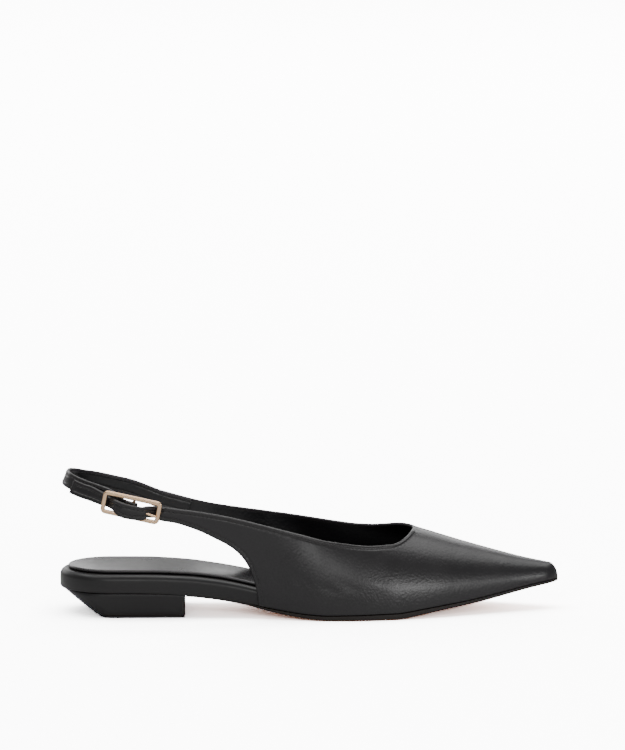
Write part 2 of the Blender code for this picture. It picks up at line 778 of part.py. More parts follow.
def strap_controls():
    """Path of the sling strap from inside the inner quarter round to its fold on the bar."""
    _, across, _ = buckle_axes()
    controls = []
    inside = WALL + GAP + STRAP_THICKNESS / 2
    end_x = strap_end_x()
    for x in (end_x + STRAP_LAP, end_x + STRAP_LAP / 2, end_x):
        top = topline_angle(x, INNER)
        low = angle_at_height(x, skin(x, top, INNER).z - STRAP_END_WIDTH)
        middle = skin(x, (top + low) / 2, INNER)
        tilt = (skin(x, top, INNER) - skin(x, low, INNER)).normalized()
        normal = Vector((-0.06, -1.0, 0.0)).normalized()
        normal = (normal - tilt * normal.dot(tilt)).normalized()
        controls.append((middle + normal * (inside + 0.0001), tilt, STRAP_END_WIDTH, STRAP_THICKNESS))
    for side, turns in ((INNER, INNER_TURNS), (OUTER, OUTER_TURNS)):
        for degrees in turns:
            turn = math.radians(degrees)
            widening = degrees / INNER_TURNS[0] if side == INNER else 0.0
            controls.append((sling_point(turn, side), lean_guide(turn, side),
                             STRAP_WIDTH + (STRAP_END_WIDTH - STRAP_WIDTH) * widening, STRAP_THICKNESS))
    reach = BUCKLE_LENGTH / 2
    round_bar = CENTRE_BAR_RADIUS + GAP + FOLD_THICKNESS / 2
    for row in UNDER_BUCKLE:
        point = at_buckle(reach * row.along, row.over * BUCKLE_HEIGHT / 2,
                          STRAP_UNDER_TAIL + row.lift * STRAP_THICKNESS)
        width = FOLD_WIDTH + (STRAP_WIDTH - FOLD_WIDTH) * row.full
        thickness = FOLD_THICKNESS + (STRAP_THICKNESS - FOLD_THICKNESS) * row.full
        controls.append((point, across, width, thickness))
    for degrees in FOLD_TURNS:
        turn = math.radians(degrees)
        point = at_buckle(CENTRE_BAR_AT + round_bar * math.cos(turn), 0.0, round_bar * math.sin(turn))
        controls.append((point, across, FOLD_WIDTH, FOLD_THICKNESS))
    controls.append((at_buckle(-reach * 0.22, 0.0, round_bar * 0.15), across, FOLD_WIDTH, FOLD_THICKNESS))
    return controls


def make_strap():
    """Sling strap: a band round the heel whose end folds round the buckle's centre bar."""
    controls = strap_controls()
    steps = 3
    path = smooth_path([c[0] for c in controls], steps)
    wide = across_path(path, smooth_path([c[1] for c in controls], steps))
    sizes = smooth_path([Vector((c[2], c[3], 0.0)) for c in controls], steps)
    bm = bmesh.new()
    rows = []
    for i, (centre, width, size) in enumerate(zip(path, wide, sizes)):
        ahead = path[min(i + 1, len(path) - 1)]
        behind = path[max(i - 1, 0)]
        normal = (ahead - behind).normalized().cross(width)
        edge = size.y * 0.3
        corners = [
            (-size.x / 2, -size.y / 2 + edge), (-size.x / 2 + edge, -size.y / 2),
            (size.x / 2 - edge, -size.y / 2), (size.x / 2, -size.y / 2 + edge),
            (size.x / 2, size.y / 2 - edge), (size.x / 2 - edge, size.y / 2),
            (-size.x / 2 + edge, size.y / 2), (-size.x / 2, size.y / 2 - edge),
        ]
        rows.append([bm.verts.new(centre + width * w + normal * n) for w, n in corners])
    grid_faces(bm, rows, closed=True)
    for row in (rows[0], rows[-1]):
        bm.faces.new(row)
    strap = finish_mesh(bm, "sling_strap")
    bpy.ops.mesh.primitive_cube_add(size=1.0)
    slot = bpy.context.object
    slot.name = "prong_slot"
    ring = PRONG_RING + PRONG_RADIUS
    length, height = 2 * ring + 4 * SLOT_PLAY, 2 * (PRONG_RADIUS + SLOT_PLAY)
    slot.data.transform(Matrix.Diagonal((length, height, SLOT_DEPTH, 1.0)))
    slot.matrix_world = buckle_matrix(CENTRE_BAR_AT)
    cut(strap, slot)
    return finish(strap, (0.012, 0.011, 0.012), 0.38)


def rounded_rectangle(curve, length, height, radius):
    """Adds a rounded rectangle to a flat curve."""
    points = []
    for quarter in range(4):
        cx = (length / 2 - radius) * (1 if quarter in (0, 3) else -1)
        cy = (height / 2 - radius) * (1 if quarter in (0, 1) else -1)
        for turn in spread(quarter * math.pi / 2, (quarter + 1) * math.pi / 2, 5):
            points.append((cx + radius * math.cos(turn), cy + radius * math.sin(turn), 0.0, 1.0))
    spline = curve.splines.new("POLY")
    spline.points.add(len(points) - 1)
    for target, point in zip(spline.points, points):
        target.co = point
    spline.use_cyclic_u = True


def make_buckle():
    """Rounded frame with a round bar across its middle."""
    curve = bpy.data.curves.new("buckle_frame", "CURVE")
    curve.dimensions = "2D"
    curve.fill_mode = "BOTH"
    curve.extrude = BUCKLE_THICKNESS / 2
    rounded_rectangle(curve, BUCKLE_LENGTH, BUCKLE_HEIGHT, BUCKLE_CORNER)
    inner_corner = BUCKLE_CORNER - BUCKLE_BAR * 0.6
    rounded_rectangle(curve, BUCKLE_LENGTH - 2 * BUCKLE_BAR, BUCKLE_HEIGHT - 2 * BUCKLE_BAR, inner_corner)
    outline = bpy.data.objects.new("buckle_frame", curve)
    SHOE.objects.link(outline)
    outline.matrix_world = buckle_matrix()
    bpy.context.view_layer.update()
    frame = baked(outline)
    edge = frame.modifiers.new("edge", "BEVEL")
    edge.width = BUCKLE_EDGE
    edge.segments = 2
    edge.limit_method = "ANGLE"
    edge.angle_limit = math.radians(50)
    bpy.ops.mesh.primitive_cylinder_add(
        vertices=12, radius=CENTRE_BAR_RADIUS, depth=BUCKLE_HEIGHT - BUCKLE_BAR)
    bar = bpy.context.object
    bar.name = "centre_bar"
    bar.data.transform(Matrix.Rotation(math.pi / 2, 4, "X"))
    bar.matrix_world = buckle_matrix(CENTRE_BAR_AT)
    cut(frame, bar, "UNION")
    return finish(frame, (0.86, 0.62, 0.45), 0.18, 1.0)


def make_prong():
    """Pin bent round the centre bar; its tip rests on the frame's front bar."""
    route = []
    for degrees in spread(-60, -270, 9):
        turn = math.radians(degrees)
        route.append((CENTRE_BAR_AT + PRONG_RING * math.cos(turn), 0.0, PRONG_RING * math.sin(turn)))
    rest = BUCKLE_THICKNESS / 2 + GAP + PRONG_RADIUS
    for along, height in ((0.30, PRONG_RING), (0.75, rest + GAP / 2), (1.0, rest)):
        route.append((CENTRE_BAR_AT + PRONG_LENGTH * along, -PRONG_DIP * along, height))
    curve = bpy.data.curves.new("buckle_prong", "CURVE")
    curve.dimensions = "3D"
    curve.bevel_depth = PRONG_RADIUS
    curve.bevel_resolution = 2
    curve.use_fill_caps = True
    spline = curve.splines.new("POLY")
    spline.points.add(len(route) - 1)
    for target, point in zip(spline.points, route):
        target.co = (*point, 1.0)
    wire = bpy.data.objects.new("buckle_prong", curve)
    SHOE.objects.link(wire)
    wire.matrix_world = buckle_matrix()
    bpy.context.view_layer.update()
    return finish(baked(wire), (0.86, 0.62, 0.45), 0.18, 1.0)


for leftover in list(bpy.data.objects):
    bpy.data.objects.remove(leftover)
SHOE = bpy.data.collections.new("slingback_pump")
CUTTERS = bpy.data.collections.new("cutters")
bpy.context.scene.collection.children.link(SHOE)
bpy.context.scene.collection.children.link(CUTTERS)

make_upper()
make_footbed()
make_sock()
make_outsole()
make_heel()
make_heel_tip()
make_strap()
make_buckle()
make_prong()
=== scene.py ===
# %% [markdown]
# # A slingback pump in black leather
#
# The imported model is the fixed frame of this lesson: it says where each piece of the shoe is.
# Here every piece gets the surface that a shoemaker would give it, in the same place.
# +X runs towards the toe, +Z up, and -Y is the outer side of this right shoe.

# %% Load the frame and keep its box
import math
from collections import namedtuple

import bmesh
import bpy
from mathutils import Matrix, Vector
from mathutils.bvhtree import BVHTree
from mathutils.kdtree import KDTree


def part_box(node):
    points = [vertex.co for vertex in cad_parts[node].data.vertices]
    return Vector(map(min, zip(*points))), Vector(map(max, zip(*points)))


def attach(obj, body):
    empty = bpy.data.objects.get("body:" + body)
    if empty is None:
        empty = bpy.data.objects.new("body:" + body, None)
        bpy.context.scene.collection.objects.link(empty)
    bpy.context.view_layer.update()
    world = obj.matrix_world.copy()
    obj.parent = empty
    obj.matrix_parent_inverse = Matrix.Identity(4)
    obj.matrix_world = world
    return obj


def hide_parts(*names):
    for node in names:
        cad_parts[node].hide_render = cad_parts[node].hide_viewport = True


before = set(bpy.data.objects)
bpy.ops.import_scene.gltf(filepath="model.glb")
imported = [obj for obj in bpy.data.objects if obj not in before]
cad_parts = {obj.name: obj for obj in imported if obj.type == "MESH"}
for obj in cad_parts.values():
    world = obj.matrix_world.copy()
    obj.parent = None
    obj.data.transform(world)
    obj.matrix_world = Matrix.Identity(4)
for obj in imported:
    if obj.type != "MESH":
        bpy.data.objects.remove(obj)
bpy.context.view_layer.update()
MM = 0.001
print("frame nodes:", ", ".join(sorted(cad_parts)))

# %% [markdown]
# ## Camera, floor and light
#
# A very long lens stands far away, a little above the shoe and square to its side, as in a
# catalogue picture. The shoe sits low in the frame, so the camera looks at a point above it.

# %% Camera
IMAGE_WIDTH, IMAGE_HEIGHT = 625, 750
FRAME_WIDTH = 338.5 * MM
CAMERA_DISTANCE = 6.0
CAMERA_AZIMUTH = math.radians(-2.0)
CAMERA_ELEVATION = math.radians(9.7)
SENSOR = 36.0
FRAME_MIDDLE = Vector((90.5 * MM, 0.0, 128.8 * MM))


def add_object(name, data):
    """Puts an object into the scene."""
    thing = bpy.data.objects.new(name, data)
    bpy.context.scene.collection.objects.link(thing)
    return thing


def aim(thing, place, target):
    """Sets a camera or a light at a place and turns it to a target."""
    thing.location = place
    thing.rotation_mode = "QUATERNION"
    thing.rotation_quaternion = (Vector(target) - Vector(place)).to_track_quat("-Z", "Y")


camera_data = bpy.data.cameras.new("catalogue_lens")
camera_data.sensor_width = SENSOR
camera_data.lens = SENSOR * CAMERA_DISTANCE / (FRAME_WIDTH * IMAGE_HEIGHT / IMAGE_WIDTH)
camera = add_object("catalogue_camera", camera_data)
towards_camera = Vector((math.sin(CAMERA_AZIMUTH) * math.cos(CAMERA_ELEVATION),
                         -math.cos(CAMERA_AZIMUTH) * math.cos(CAMERA_ELEVATION),
                         math.sin(CAMERA_ELEVATION)))
aim(camera, FRAME_MIDDLE + towards_camera * CAMERA_DISTANCE, FRAME_MIDDLE)
bpy.context.scene.camera = camera
print(f"lens {camera_data.lens:.0f} mm, {CAMERA_DISTANCE:.1f} m away")

# %% Helpers for tables, colours, nodes and materials


def table(columns, *rows):
    """Rows of values with named columns."""
    row_type = namedtuple("Row", columns)
    return [row_type(*row) for row in rows]


def srgb(code):
    """Turns a hex sRGB colour into linear red, green, blue and alpha."""
    parts = [int(code[i:i + 2], 16) / 255 for i in (1, 3, 5)]
    return tuple(c / 12.92 if c <= 0.04045 else ((c + 0.055) / 1.055) ** 2.4 for c in parts) + (1.0,)


def add_node(tree, kind, settings=None, **links):
    """Adds a node. Links name an input, or i and its number; they hold a value or an output."""
    node = tree.nodes.new(kind)
    for name, value in (settings or {}).items():
        setattr(node, name, value)
    for name, value in links.items():
        numbered = name[0] == "i" and name[1:].isdigit()
        socket = node.inputs[int(name[1:]) if numbered else name.replace("_", " ")]
        if isinstance(value, bpy.types.NodeSocket):
            tree.links.new(value, socket)
        else:
            socket.default_value = value
    return node


def new_material(name, colour, roughness, **uniform):
    """Starts a Principled material; sockets that are the same all over are set on the shader."""
    material = bpy.data.materials.new(name)
    material.use_nodes = True
    shader = material.node_tree.nodes["Principled BSDF"]
    shader.inputs["Base Color"].default_value = srgb(colour)
    shader.inputs["Roughness"].default_value = roughness
    for socket, value in uniform.items():
        shader.inputs[socket.replace("_", " ")].default_value = value
    material.diffuse_color = srgb(colour)
    return material, material.node_tree, shader


print("pure white in linear light:", srgb("#FFFFFF"))

# %% [markdown]
# Black leather shows only what it mirrors. A wide soft bank overhead draws the pale top of the
# vamp, two panels behind brighten its ridge, and a low strip at the side draws the long soft
# streak. The camera sees floor and walls burnt out to white, as in a catalogue, with only the
# contact shadow left. The leather feels them far darker, so it stays black.

# %% Floor and soft light
WALLS_SEEN, WALLS_FELT = 8.5, 0.30
FLOOR_SEEN, FLOOR_FELT = 10.0, 0.62
LIGHTS = table(
    "name place target size watts",
    ("overhead_bank", (0.10, 0.37, 2.70), (0.10, 0.0, 0.0), (4.0, 2.2), 66.0),
    ("back_panel", (-1.15, 2.60, 1.00), (0.05, 0.0, 0.0), (2.6, 1.1), 18.0),
    ("ridge_panel", (0.85, 2.20, 1.15), (0.15, 0.0, 0.04), (1.4, 1.4), 12.0),
    ("front_fill", (-0.3, -3.0, 1.3), (0.08, 0.0, 0.03), (1.8, 0.9), 16.0),
    ("side_strip", (0.90, -1.22, 0.44), (0.15, -0.03, 0.02), (0.62, 0.13), 3.6),
)


def camera_choice(tree, seen, felt):
    """A value that the camera sees and another one that the pieces mirror."""
    path = add_node(tree, "ShaderNodeLightPath")
    return add_node(tree, "ShaderNodeMix", {"data_type": "FLOAT"},
                    i0=path.outputs["Is Camera Ray"], i2=felt, i3=seen).outputs[0]


floor_paper = bpy.data.materials.new("white_studio_paper")
floor_paper.use_nodes = True
paper_tree = floor_paper.node_tree
paper_tree.nodes.clear()
paper = add_node(paper_tree, "ShaderNodeBsdfDiffuse",
                 Color=camera_choice(paper_tree, FLOOR_SEEN, FLOOR_FELT))
add_node(paper_tree, "ShaderNodeOutputMaterial", Surface=paper.outputs[0])
bpy.ops.mesh.primitive_plane_add(size=12.0, location=(0.0, 0.0, -0.1 * MM))
floor = bpy.context.object
floor.name = "floor"
floor.data.materials.append(floor_paper)

world = bpy.data.worlds.new("white_studio")
world.use_nodes = True
bpy.context.scene.world = world
background = world.node_tree.nodes["Background"]
background.inputs["Color"].default_value = srgb("#FFFFFF")
world.node_tree.links.new(camera_choice(world.node_tree, WALLS_SEEN, WALLS_FELT),
                          background.inputs["Strength"])

for row in LIGHTS:
    data = bpy.data.lights.new(row.name, "AREA")
    data.shape = "RECTANGLE"
    data.size, data.size_y = row.size
    data.energy = row.watts
    aim(add_object(row.name, data), row.place, row.target)
print("floor and", len(LIGHTS), "soft lights")

# %% [markdown]
# ## The last
#
# A shoe is drawn over a last, so all its leather shares one surface. The last is a row of
# sections along the foot: how far the sole's edge lies out on each side, and how high the ridge
# would be. Short tables hold those as shares of a few sizes, and a smooth curve reads between
# the rows. The sizes come from the frame where a node's box gives them.

# %% Sizes of the shoe
REAR_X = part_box("footbed")[0][0]
TOE_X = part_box("upper")[1][0]
HEEL_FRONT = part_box("heel")[1][0]
LENGTH = TOE_X - REAR_X
BALL_WIDTH = 73.0 * MM
BALL_AT = 0.600
HEEL_HEIGHT = 14.0 * MM
TOE_SPRING = 15.0 * MM
THROAT_HEIGHT = 44.8 * MM
COLLAR_HEIGHT = 62.6 * MM
WALL = 1.5 * MM
GAP = 0.3 * MM
SEAT_ROUND = 28.0 * MM
NOSE_LENGTH = 7.5 * MM
NOSE_ROUND = 4.8 * MM
THROAT_X = REAR_X + 191.5 * MM
THROAT_DEPTH = 15.5 * MM
STRAP_END_X = REAR_X + 55.0 * MM
QUARTER_SWEEP = 52.0 * MM
SOLE_THICKNESS = 3.2 * MM
OUTER, INNER = -1, 1
COLUMN = {OUTER: "outer", INNER: "inner"}
FLARE = {OUTER: 8.0 * MM, INNER: 9.0 * MM}
FLARE_ENDS = {OUTER: 0.50, INNER: 0.60}
FLARE_FADE = 0.16
END_WIDTH = {OUTER: 8.0 * MM, INNER: 10.0 * MM}
THROAT_POWER = {OUTER: 2.8, INNER: 1.5}

FORM = table(
    "at outer inner ridge",
    (0.000, 0.700, 0.690, 3.60),
    (0.100, 0.715, 0.700, 3.52),
    (0.172, 0.725, 0.695, 3.42),
    (0.246, 0.710, 0.650, 3.20),
    (0.320, 0.700, 0.590, 2.86),
    (0.394, 0.755, 0.610, 2.36),
    (0.468, 0.885, 0.730, 1.84),
    (0.523, 0.970, 0.860, 1.50),
    (0.579, 0.990, 0.935, 1.29),
    (0.652, 0.935, 0.940, 1.117),
    (0.708, 0.840, 0.870, 1.012),
    (0.760, 0.720, 0.760, 0.915),
    (0.800, 0.610, 0.655, 0.840),
    (0.874, 0.395, 0.450, 0.712),
    (0.930, 0.235, 0.295, 0.622),
    (1.000, 0.060, 0.120, 0.535),
)
TREAD = table(
    "at arch spring thick",
    (0.000, 0.900, 0.000, 0.28),
    (0.172, 0.885, 0.000, 0.28),
    (0.253, 0.815, 0.000, 0.28),
    (0.312, 0.680, 0.000, 0.30),
    (0.394, 0.390, 0.000, 0.44),
    (0.442, 0.205, 0.000, 0.60),
    (0.482, 0.085, 0.000, 0.70),
    (0.516, 0.020, 0.000, 0.78),
    (0.534, 0.000, 0.000, 0.82),
    (0.600, 0.000, 0.000, 0.92),
    (0.671, 0.000, 0.000, 1.00),
    (0.693, 0.000, 0.035, 1.00),
    (0.719, 0.000, 0.115, 0.92),
    (0.745, 0.000, 0.195, 0.82),
    (0.771, 0.000, 0.270, 0.74),
    (0.808, 0.000, 0.365, 0.65),
    (0.841, 0.000, 0.460, 0.62),
    (0.874, 0.000, 0.575, 0.58),
    (0.922, 0.000, 0.750, 0.52),
    (0.963, 0.000, 0.890, 0.46),
    (1.000, 0.000, 1.000, 0.38),
)
COLLAR = table(
    "at outer inner",
    (0.000, 1.230, 1.220),
    (0.200, 1.000, 0.975),
    (0.289, 0.941, 0.878),
    (0.364, 0.875, 0.823),
    (0.401, 0.833, 0.800),
    (0.445, 0.782, 0.768),
    (0.488, 0.733, 0.741),
    (0.525, 0.690, 0.721),
    (0.565, 0.660, 0.702),
    (0.600, 0.638, 0.690),
    (0.628, 0.629, 0.688),
    (0.651, 0.630, 0.699),
)
SWEEP = table(
    "forward height",
    (0.000, 1.000),
    (0.130, 0.975),
    (0.262, 0.930),
    (0.417, 0.862),
    (0.552, 0.787),
    (0.698, 0.700),
    (0.815, 0.590),
    (0.905, 0.440),
    (0.960, 0.275),
    (0.990, 0.120),
    (1.000, 0.000),
)
print(f"last: {LENGTH / MM:.1f} mm long, throat at {THROAT_X / MM:.0f} mm")

# %% Curves and directions


def blend(low, high, part):
    """Value between two others."""
    return low + (high - low) * part


def ease(value):
    """Smooth step from 0 to 1."""
    value = min(1.0, max(0.0, value))
    return value * value * (3 - 2 * value)


def spread(low, high, count):
    """Evenly spaced values, both ends included."""
    return [low + (high - low) * i / count for i in range(count + 1)]


def arc(first, last, count):
    """Cosine and sine at even steps through a turn in degrees, both ends included."""
    turns = [math.radians(degrees) for degrees in spread(first, last, count)]
    return [(math.cos(turn), math.sin(turn)) for turn in turns]


def knot_slope(slopes, steps, knot):
    """Slope of the smooth curve at one row: a harmonic mean, and level at a peak or dip."""
    if knot in (0, len(slopes)):
        return slopes[min(knot, len(slopes) - 1)]
    before, after = slopes[knot - 1], slopes[knot]
    if before * after <= 0:
        return 0.0
    heavy = 2 * steps[knot] + steps[knot - 1]
    light = steps[knot] + 2 * steps[knot - 1]
    return (heavy + light) / (heavy / before + light / after)


def read(rows, column, at):
    """Value of a table's column at a place, on a smooth curve that never overshoots a row."""
    places = [row[0] for row in rows]
    values = [getattr(row, column) for row in rows]
    if at <= places[0]:
        return values[0]
    if at >= places[-1]:
        return values[-1]
    steps = [b - a for a, b in zip(places, places[1:])]
    slopes = [(b - a) / step for a, b, step in zip(values, values[1:], steps)]
    index = max(i for i, place in enumerate(places) if place <= at)
    start, end = (knot_slope(slopes, steps, k) for k in (index, index + 1))
    step = steps[index]
    u = (at - places[index]) / step
    return (values[index] * (1 + 2 * u) * (1 - u) ** 2 + start * step * u * (1 - u) ** 2
            + values[index + 1] * u * u * (3 - 2 * u) + end * step * u * u * (u - 1))


def smooth_path(points, per_span):
    """Points on a smooth curve through the given ones."""
    ends = [points[0] * 2 - points[1]] + list(points) + [points[-1] * 2 - points[-2]]
    path = []
    for a, b, c, d in zip(ends, ends[1:], ends[2:], ends[3:]):
        for u in spread(0, 1, per_span)[:-1]:
            path.append(0.5 * (2 * b + (c - a) * u + (2 * a - 5 * b + 4 * c - d) * u * u
                               + (3 * b - a - 3 * c + d) * u ** 3))
    path.append(points[-1].copy())
    return path


def directions(path):
    """Direction along a path at each of its points."""
    last = len(path) - 1
    return [(path[min(i + 1, last)] - path[max(i - 1, 0)]).normalized() for i in range(last + 1)]


def square_to(guide, along):
    """Direction nearest to a guide that stands square to another direction."""
    return (guide - along * guide.dot(along)).normalized()


def across_path(path, guides):
    """Direction across a band at each point of its path, square to the path."""
    return [square_to(guide, along) for guide, along in zip(guides, directions(path))]


print(f"collar in the middle: {read(COLLAR, 'outer', 0.5) * COLLAR_HEIGHT / MM:.1f} mm high")

# %% Surface of the last


def share(x):
    """Place along the shoe, from 0 at the back to 1 at the toe."""
    return (x - REAR_X) / LENGTH


def rounding(distance, radius):
    """Width of a round end at a distance from its tip, as a share of the full width."""
    left = 1 - min(1.0, max(0.0, distance / radius))
    return math.sqrt(1 - left * left)


def plan(x, tip_x=TOE_X, inset=0.0):
    """Middle line and half width of the footbed's plan, with a round seat and nose."""
    outer = read(FORM, "outer", share(x)) * BALL_WIDTH / 2
    inner = read(FORM, "inner", share(x)) * BALL_WIDTH / 2
    ends = rounding(x - REAR_X - inset, SEAT_ROUND - inset) * rounding(tip_x - x, NOSE_LENGTH)
    return (inner - outer) / 2, ((inner + outer) / 2 - inset) * ends


def tread_height(x):
    """Height of the outsole's underside."""
    return (read(TREAD, "arch", share(x)) * HEEL_HEIGHT
            + read(TREAD, "spring", share(x)) * TOE_SPRING)


def feather_height(x):
    """Height of the line where upper and footbed sit on the outsole."""
    return tread_height(x) + read(TREAD, "thick", share(x)) * SOLE_THICKNESS + GAP


def ridge_rise(x):
    """Height of the ridge over the feather line."""
    return read(FORM, "ridge", share(x)) * THROAT_HEIGHT - feather_height(x)


def skin(x, angle, side):
    """Point of the upper's outer face: angle 0 is at the sole, a right angle is at the ridge."""
    middle, half = plan(x)
    half += (WALL + GAP) * rounding(TOE_X - x, NOSE_LENGTH)
    rise = ridge_rise(x) * rounding(TOE_X - x, NOSE_ROUND)
    lean = FLARE[side] * ease((FLARE_ENDS[side] - share(x)) / FLARE_FADE)
    out = half * math.cos(angle) + lean * math.sin(2 * angle)
    return Vector((x, middle + side * out, feather_height(x) + rise * math.sin(angle)))


def angle_at_height(x, height):
    """Angle up the section at which the outer face has a height."""
    return math.asin(min(1.0, max(0.0, (height - feather_height(x)) / ridge_rise(x))))


def edge_turn(x, angle, side, distance):
    """Turn up the section that a distance along the leather takes at a point."""
    step = 0.01
    pace = (skin(x, angle + step, side) - skin(x, angle, side)).length / step
    return min(0.2, distance / max(pace, 0.5 * MM))


def topline_angle(x, side, lip=0.0):
    """Where the face ends above: at the collar, round the throat, then at the ridge. A lip that is
    still to be folded over leaves that much of it free."""
    start = THROAT_X + lip - THROAT_DEPTH
    if x >= THROAT_X + lip:
        return math.pi / 2
    angle = angle_at_height(x, read(COLLAR, COLUMN[side], share(min(x, start))) * COLLAR_HEIGHT)
    if lip:
        angle -= edge_turn(x, angle, side, lip)
    if x <= start:
        return angle
    left = (x - start) / THROAT_DEPTH
    return math.acos(math.cos(angle) * math.sqrt(1 - left ** THROAT_POWER[side]))


def strap_end_height(side):
    """Height of the strap end's lower edge."""
    return read(COLLAR, COLUMN[side], share(STRAP_END_X)) * COLLAR_HEIGHT - END_WIDTH[side]


def rear_edge(side, steps):
    """Places and heights down a quarter's rear edge, evenly spaced along it."""
    low = feather_height(STRAP_END_X + QUARTER_SWEEP)
    rise = strap_end_height(side) - low
    fine = []
    for row, after in zip(SWEEP, SWEEP[1:]):
        for u in spread(0, 1, 8)[:-1]:
            forward = blend(row.forward, after.forward, u)
            fine.append(Vector((forward * QUARTER_SWEEP, read(SWEEP, "height", forward) * rise)))
    fine.append(Vector((QUARTER_SWEEP, 0.0)))
    walk = [0.0]
    for a, b in zip(fine, fine[1:]):
        walk.append(walk[-1] + (b - a).length)
    edge = []
    for target in spread(0, walk[-1], steps):
        i = min(len(fine) - 2, max(k for k, done in enumerate(walk) if done <= target))
        u = (target - walk[i]) / (walk[i + 1] - walk[i])
        edge.append(Vector((STRAP_END_X, low)) + fine[i].lerp(fine[i + 1], u))
    return edge


ball = plan(BALL_AT * LENGTH + REAR_X)
print(f"ball of the last: {2 * ball[1] / MM:.1f} mm wide")

# %% [markdown]
# ## The upper
#
# Vamp and quarters are one skin of calf leather, pulled over the last and cemented under it. Its
# free edges are folded over and stitched down, so they read as a soft bead with a groove behind.
# The sheet is laid out as a grid over the last, then gets its lining face and a round folded lip
# along every edge. Working from a sheet keeps the wall equally thick everywhere, as leather is.

# %% Sheet for the vamp and a quarter
LIP = 0.5 * MM
LIP_STEPS = 6
BEAD_WIDTH = 1.7 * MM
BEAD_RISE = 0.22 * MM
GROOVE_WIDTH = 0.45 * MM
GROOVE_DEPTH = 0.30 * MM
ROW_STEPS = 54
EDGE_CROWDING = 0.80
REAR_STEPS = 60

# Shares up the sheet lie closer together at both edges, where the leather needs detail.
ROW_SHARES = [t - EDGE_CROWDING * math.sin(2 * math.pi * t) / (2 * math.pi)
              for t in spread(0, 1, ROW_STEPS)]


def quarter_columns(side):
    """Columns of points up the outer face, from the strap end to the toe."""
    edge = rear_edge(side, REAR_STEPS)
    columns = [(x, angle_at_height(x, height + LIP)) for x, height in edge[:-1]]
    start = THROAT_X + LIP - THROAT_DEPTH
    nose_start = TOE_X - NOSE_LENGTH
    places = spread(edge[-1].x, start, 46)[:-1]
    places += [start + THROAT_DEPTH * s for _, s in arc(0, 90, 34)]
    places += spread(THROAT_X + LIP, nose_start, 64)[1:]
    places += [nose_start + NOSE_LENGTH * s for _, s in arc(0, 90, 14)[1:]]
    columns += [(x, edge_turn(x, 0.0, side, LIP)) for x in places]
    rows = []
    for x, low in columns:
        high = topline_angle(x, side, LIP)
        rows.append([skin(x, blend(low, high, s), side) for s in ROW_SHARES])
    return rows


medial = quarter_columns(INNER)
print(f"inner half of the sheet: {len(medial)} columns of {len(medial[0])} points")

# %% [markdown]
# The outer quarter runs out into the billet, the narrow end with the hole. It goes under the
# buckle's front bar, over the strap's fold and the prong, under the rear bar, and lies on the
# strap behind. Its path is set by the buckle, so it is written in the buckle's own directions.

# %% Sizes of strap, buckle and billet
STRAP_WIDTH = 8.4 * MM
STRAP_END_WIDTH = 9.8 * MM
STRAP_THICKNESS = 1.8 * MM
STRAP_REAR_HEIGHT = 74.1 * MM
STRAP_HALF_SPAN = 26.8 * MM
STRAP_BACK_X = 43.3 * MM
STRAP_FRONT_X = 15.0 * MM
STRAP_ROUND = 2.4
STRAP_LEAN = math.radians(21)
SIDE_LEAN = math.radians(4)
FOLD_WIDTH = 6.0 * MM
FOLD_THICKNESS = 1.1 * MM
BUCKLE_LENGTH = 32.5 * MM
BUCKLE_HEIGHT = 12.8 * MM
BUCKLE_THICKNESS = 1.8 * MM
BUCKLE_BAR = 2.4 * MM
BUCKLE_CORNER = 2.8 * MM
BUCKLE_CENTRE = Vector((-8.5 * MM, -30.0 * MM, 62.0 * MM))
BUCKLE_SLOPE = math.radians(11.4)
BUCKLE_TURN = math.radians(8.5)
CENTRE_BAR_RADIUS = 0.8 * MM
CENTRE_BAR_AT = 1.0 * MM
PRONG_RADIUS = 0.7 * MM
PRONG_LENGTH = 13.7 * MM
PRONG_DIP = 1.8 * MM
PRONG_BEND = 0.75
PRONG_RING = CENTRE_BAR_RADIUS + GAP + PRONG_RADIUS
PRONG_REST = BUCKLE_THICKNESS / 2 + GAP + PRONG_RADIUS
BILLET_UNDER_BAR = -BUCKLE_THICKNESS / 2 - GAP
BILLET_OVER_FOLD = PRONG_RING + PRONG_RADIUS + GAP + WALL
STRAP_UNDER_TAIL = BILLET_UNDER_BAR - WALL - GAP - STRAP_THICKNESS / 2
TAIL_STAND_OFF = STRAP_THICKNESS / 2 + 2 * GAP + WALL
TAIL_DROP = 1.6 * MM
TAIL_TURNS = (46, 40, 34, 28)
BILLET_SPAN_STEPS = 10

SLING = table(
    "forward outer inner",
    (0.00, 1.000, 1.000),
    (0.08, 0.990, 0.988),
    (0.19, 0.965, 0.957),
    (0.34, 0.935, 0.927),
    (0.48, 0.900, 0.896),
    (0.68, 0.850, 0.853),
    (1.10, 0.760, 0.745),
)
BILLET = table(
    "along over lift wide",
    (0.86, 0.02, 0.00, 0.84),
    (0.73, -0.01, 0.22, 0.82),
    (0.58, -0.03, 0.66, 0.82),
    (0.42, -0.22, 0.97, 0.94),
    (0.07, -0.30, 1.00, 1.00),
    (-0.28, -0.27, 0.97, 1.00),
    (-0.54, -0.05, 0.74, 0.78),
    (-0.68, -0.01, 0.40, 0.74),
    (-0.83, 0.02, 0.00, 0.76),
    (-1.00, 0.12, 0.00, 0.90),
)
UNDER_BUCKLE = table(
    "along over lift full",
    (-0.90, 0.448, 0.000, 0.87),
    (-0.62, 0.241, 0.167, 0.56),
    (-0.34, 0.069, 0.778, 0.00),
)
print(f"buckle {BUCKLE_LENGTH / MM:.1f} x {BUCKLE_HEIGHT / MM:.1f} mm on a {STRAP_WIDTH / MM:.1f} mm strap")

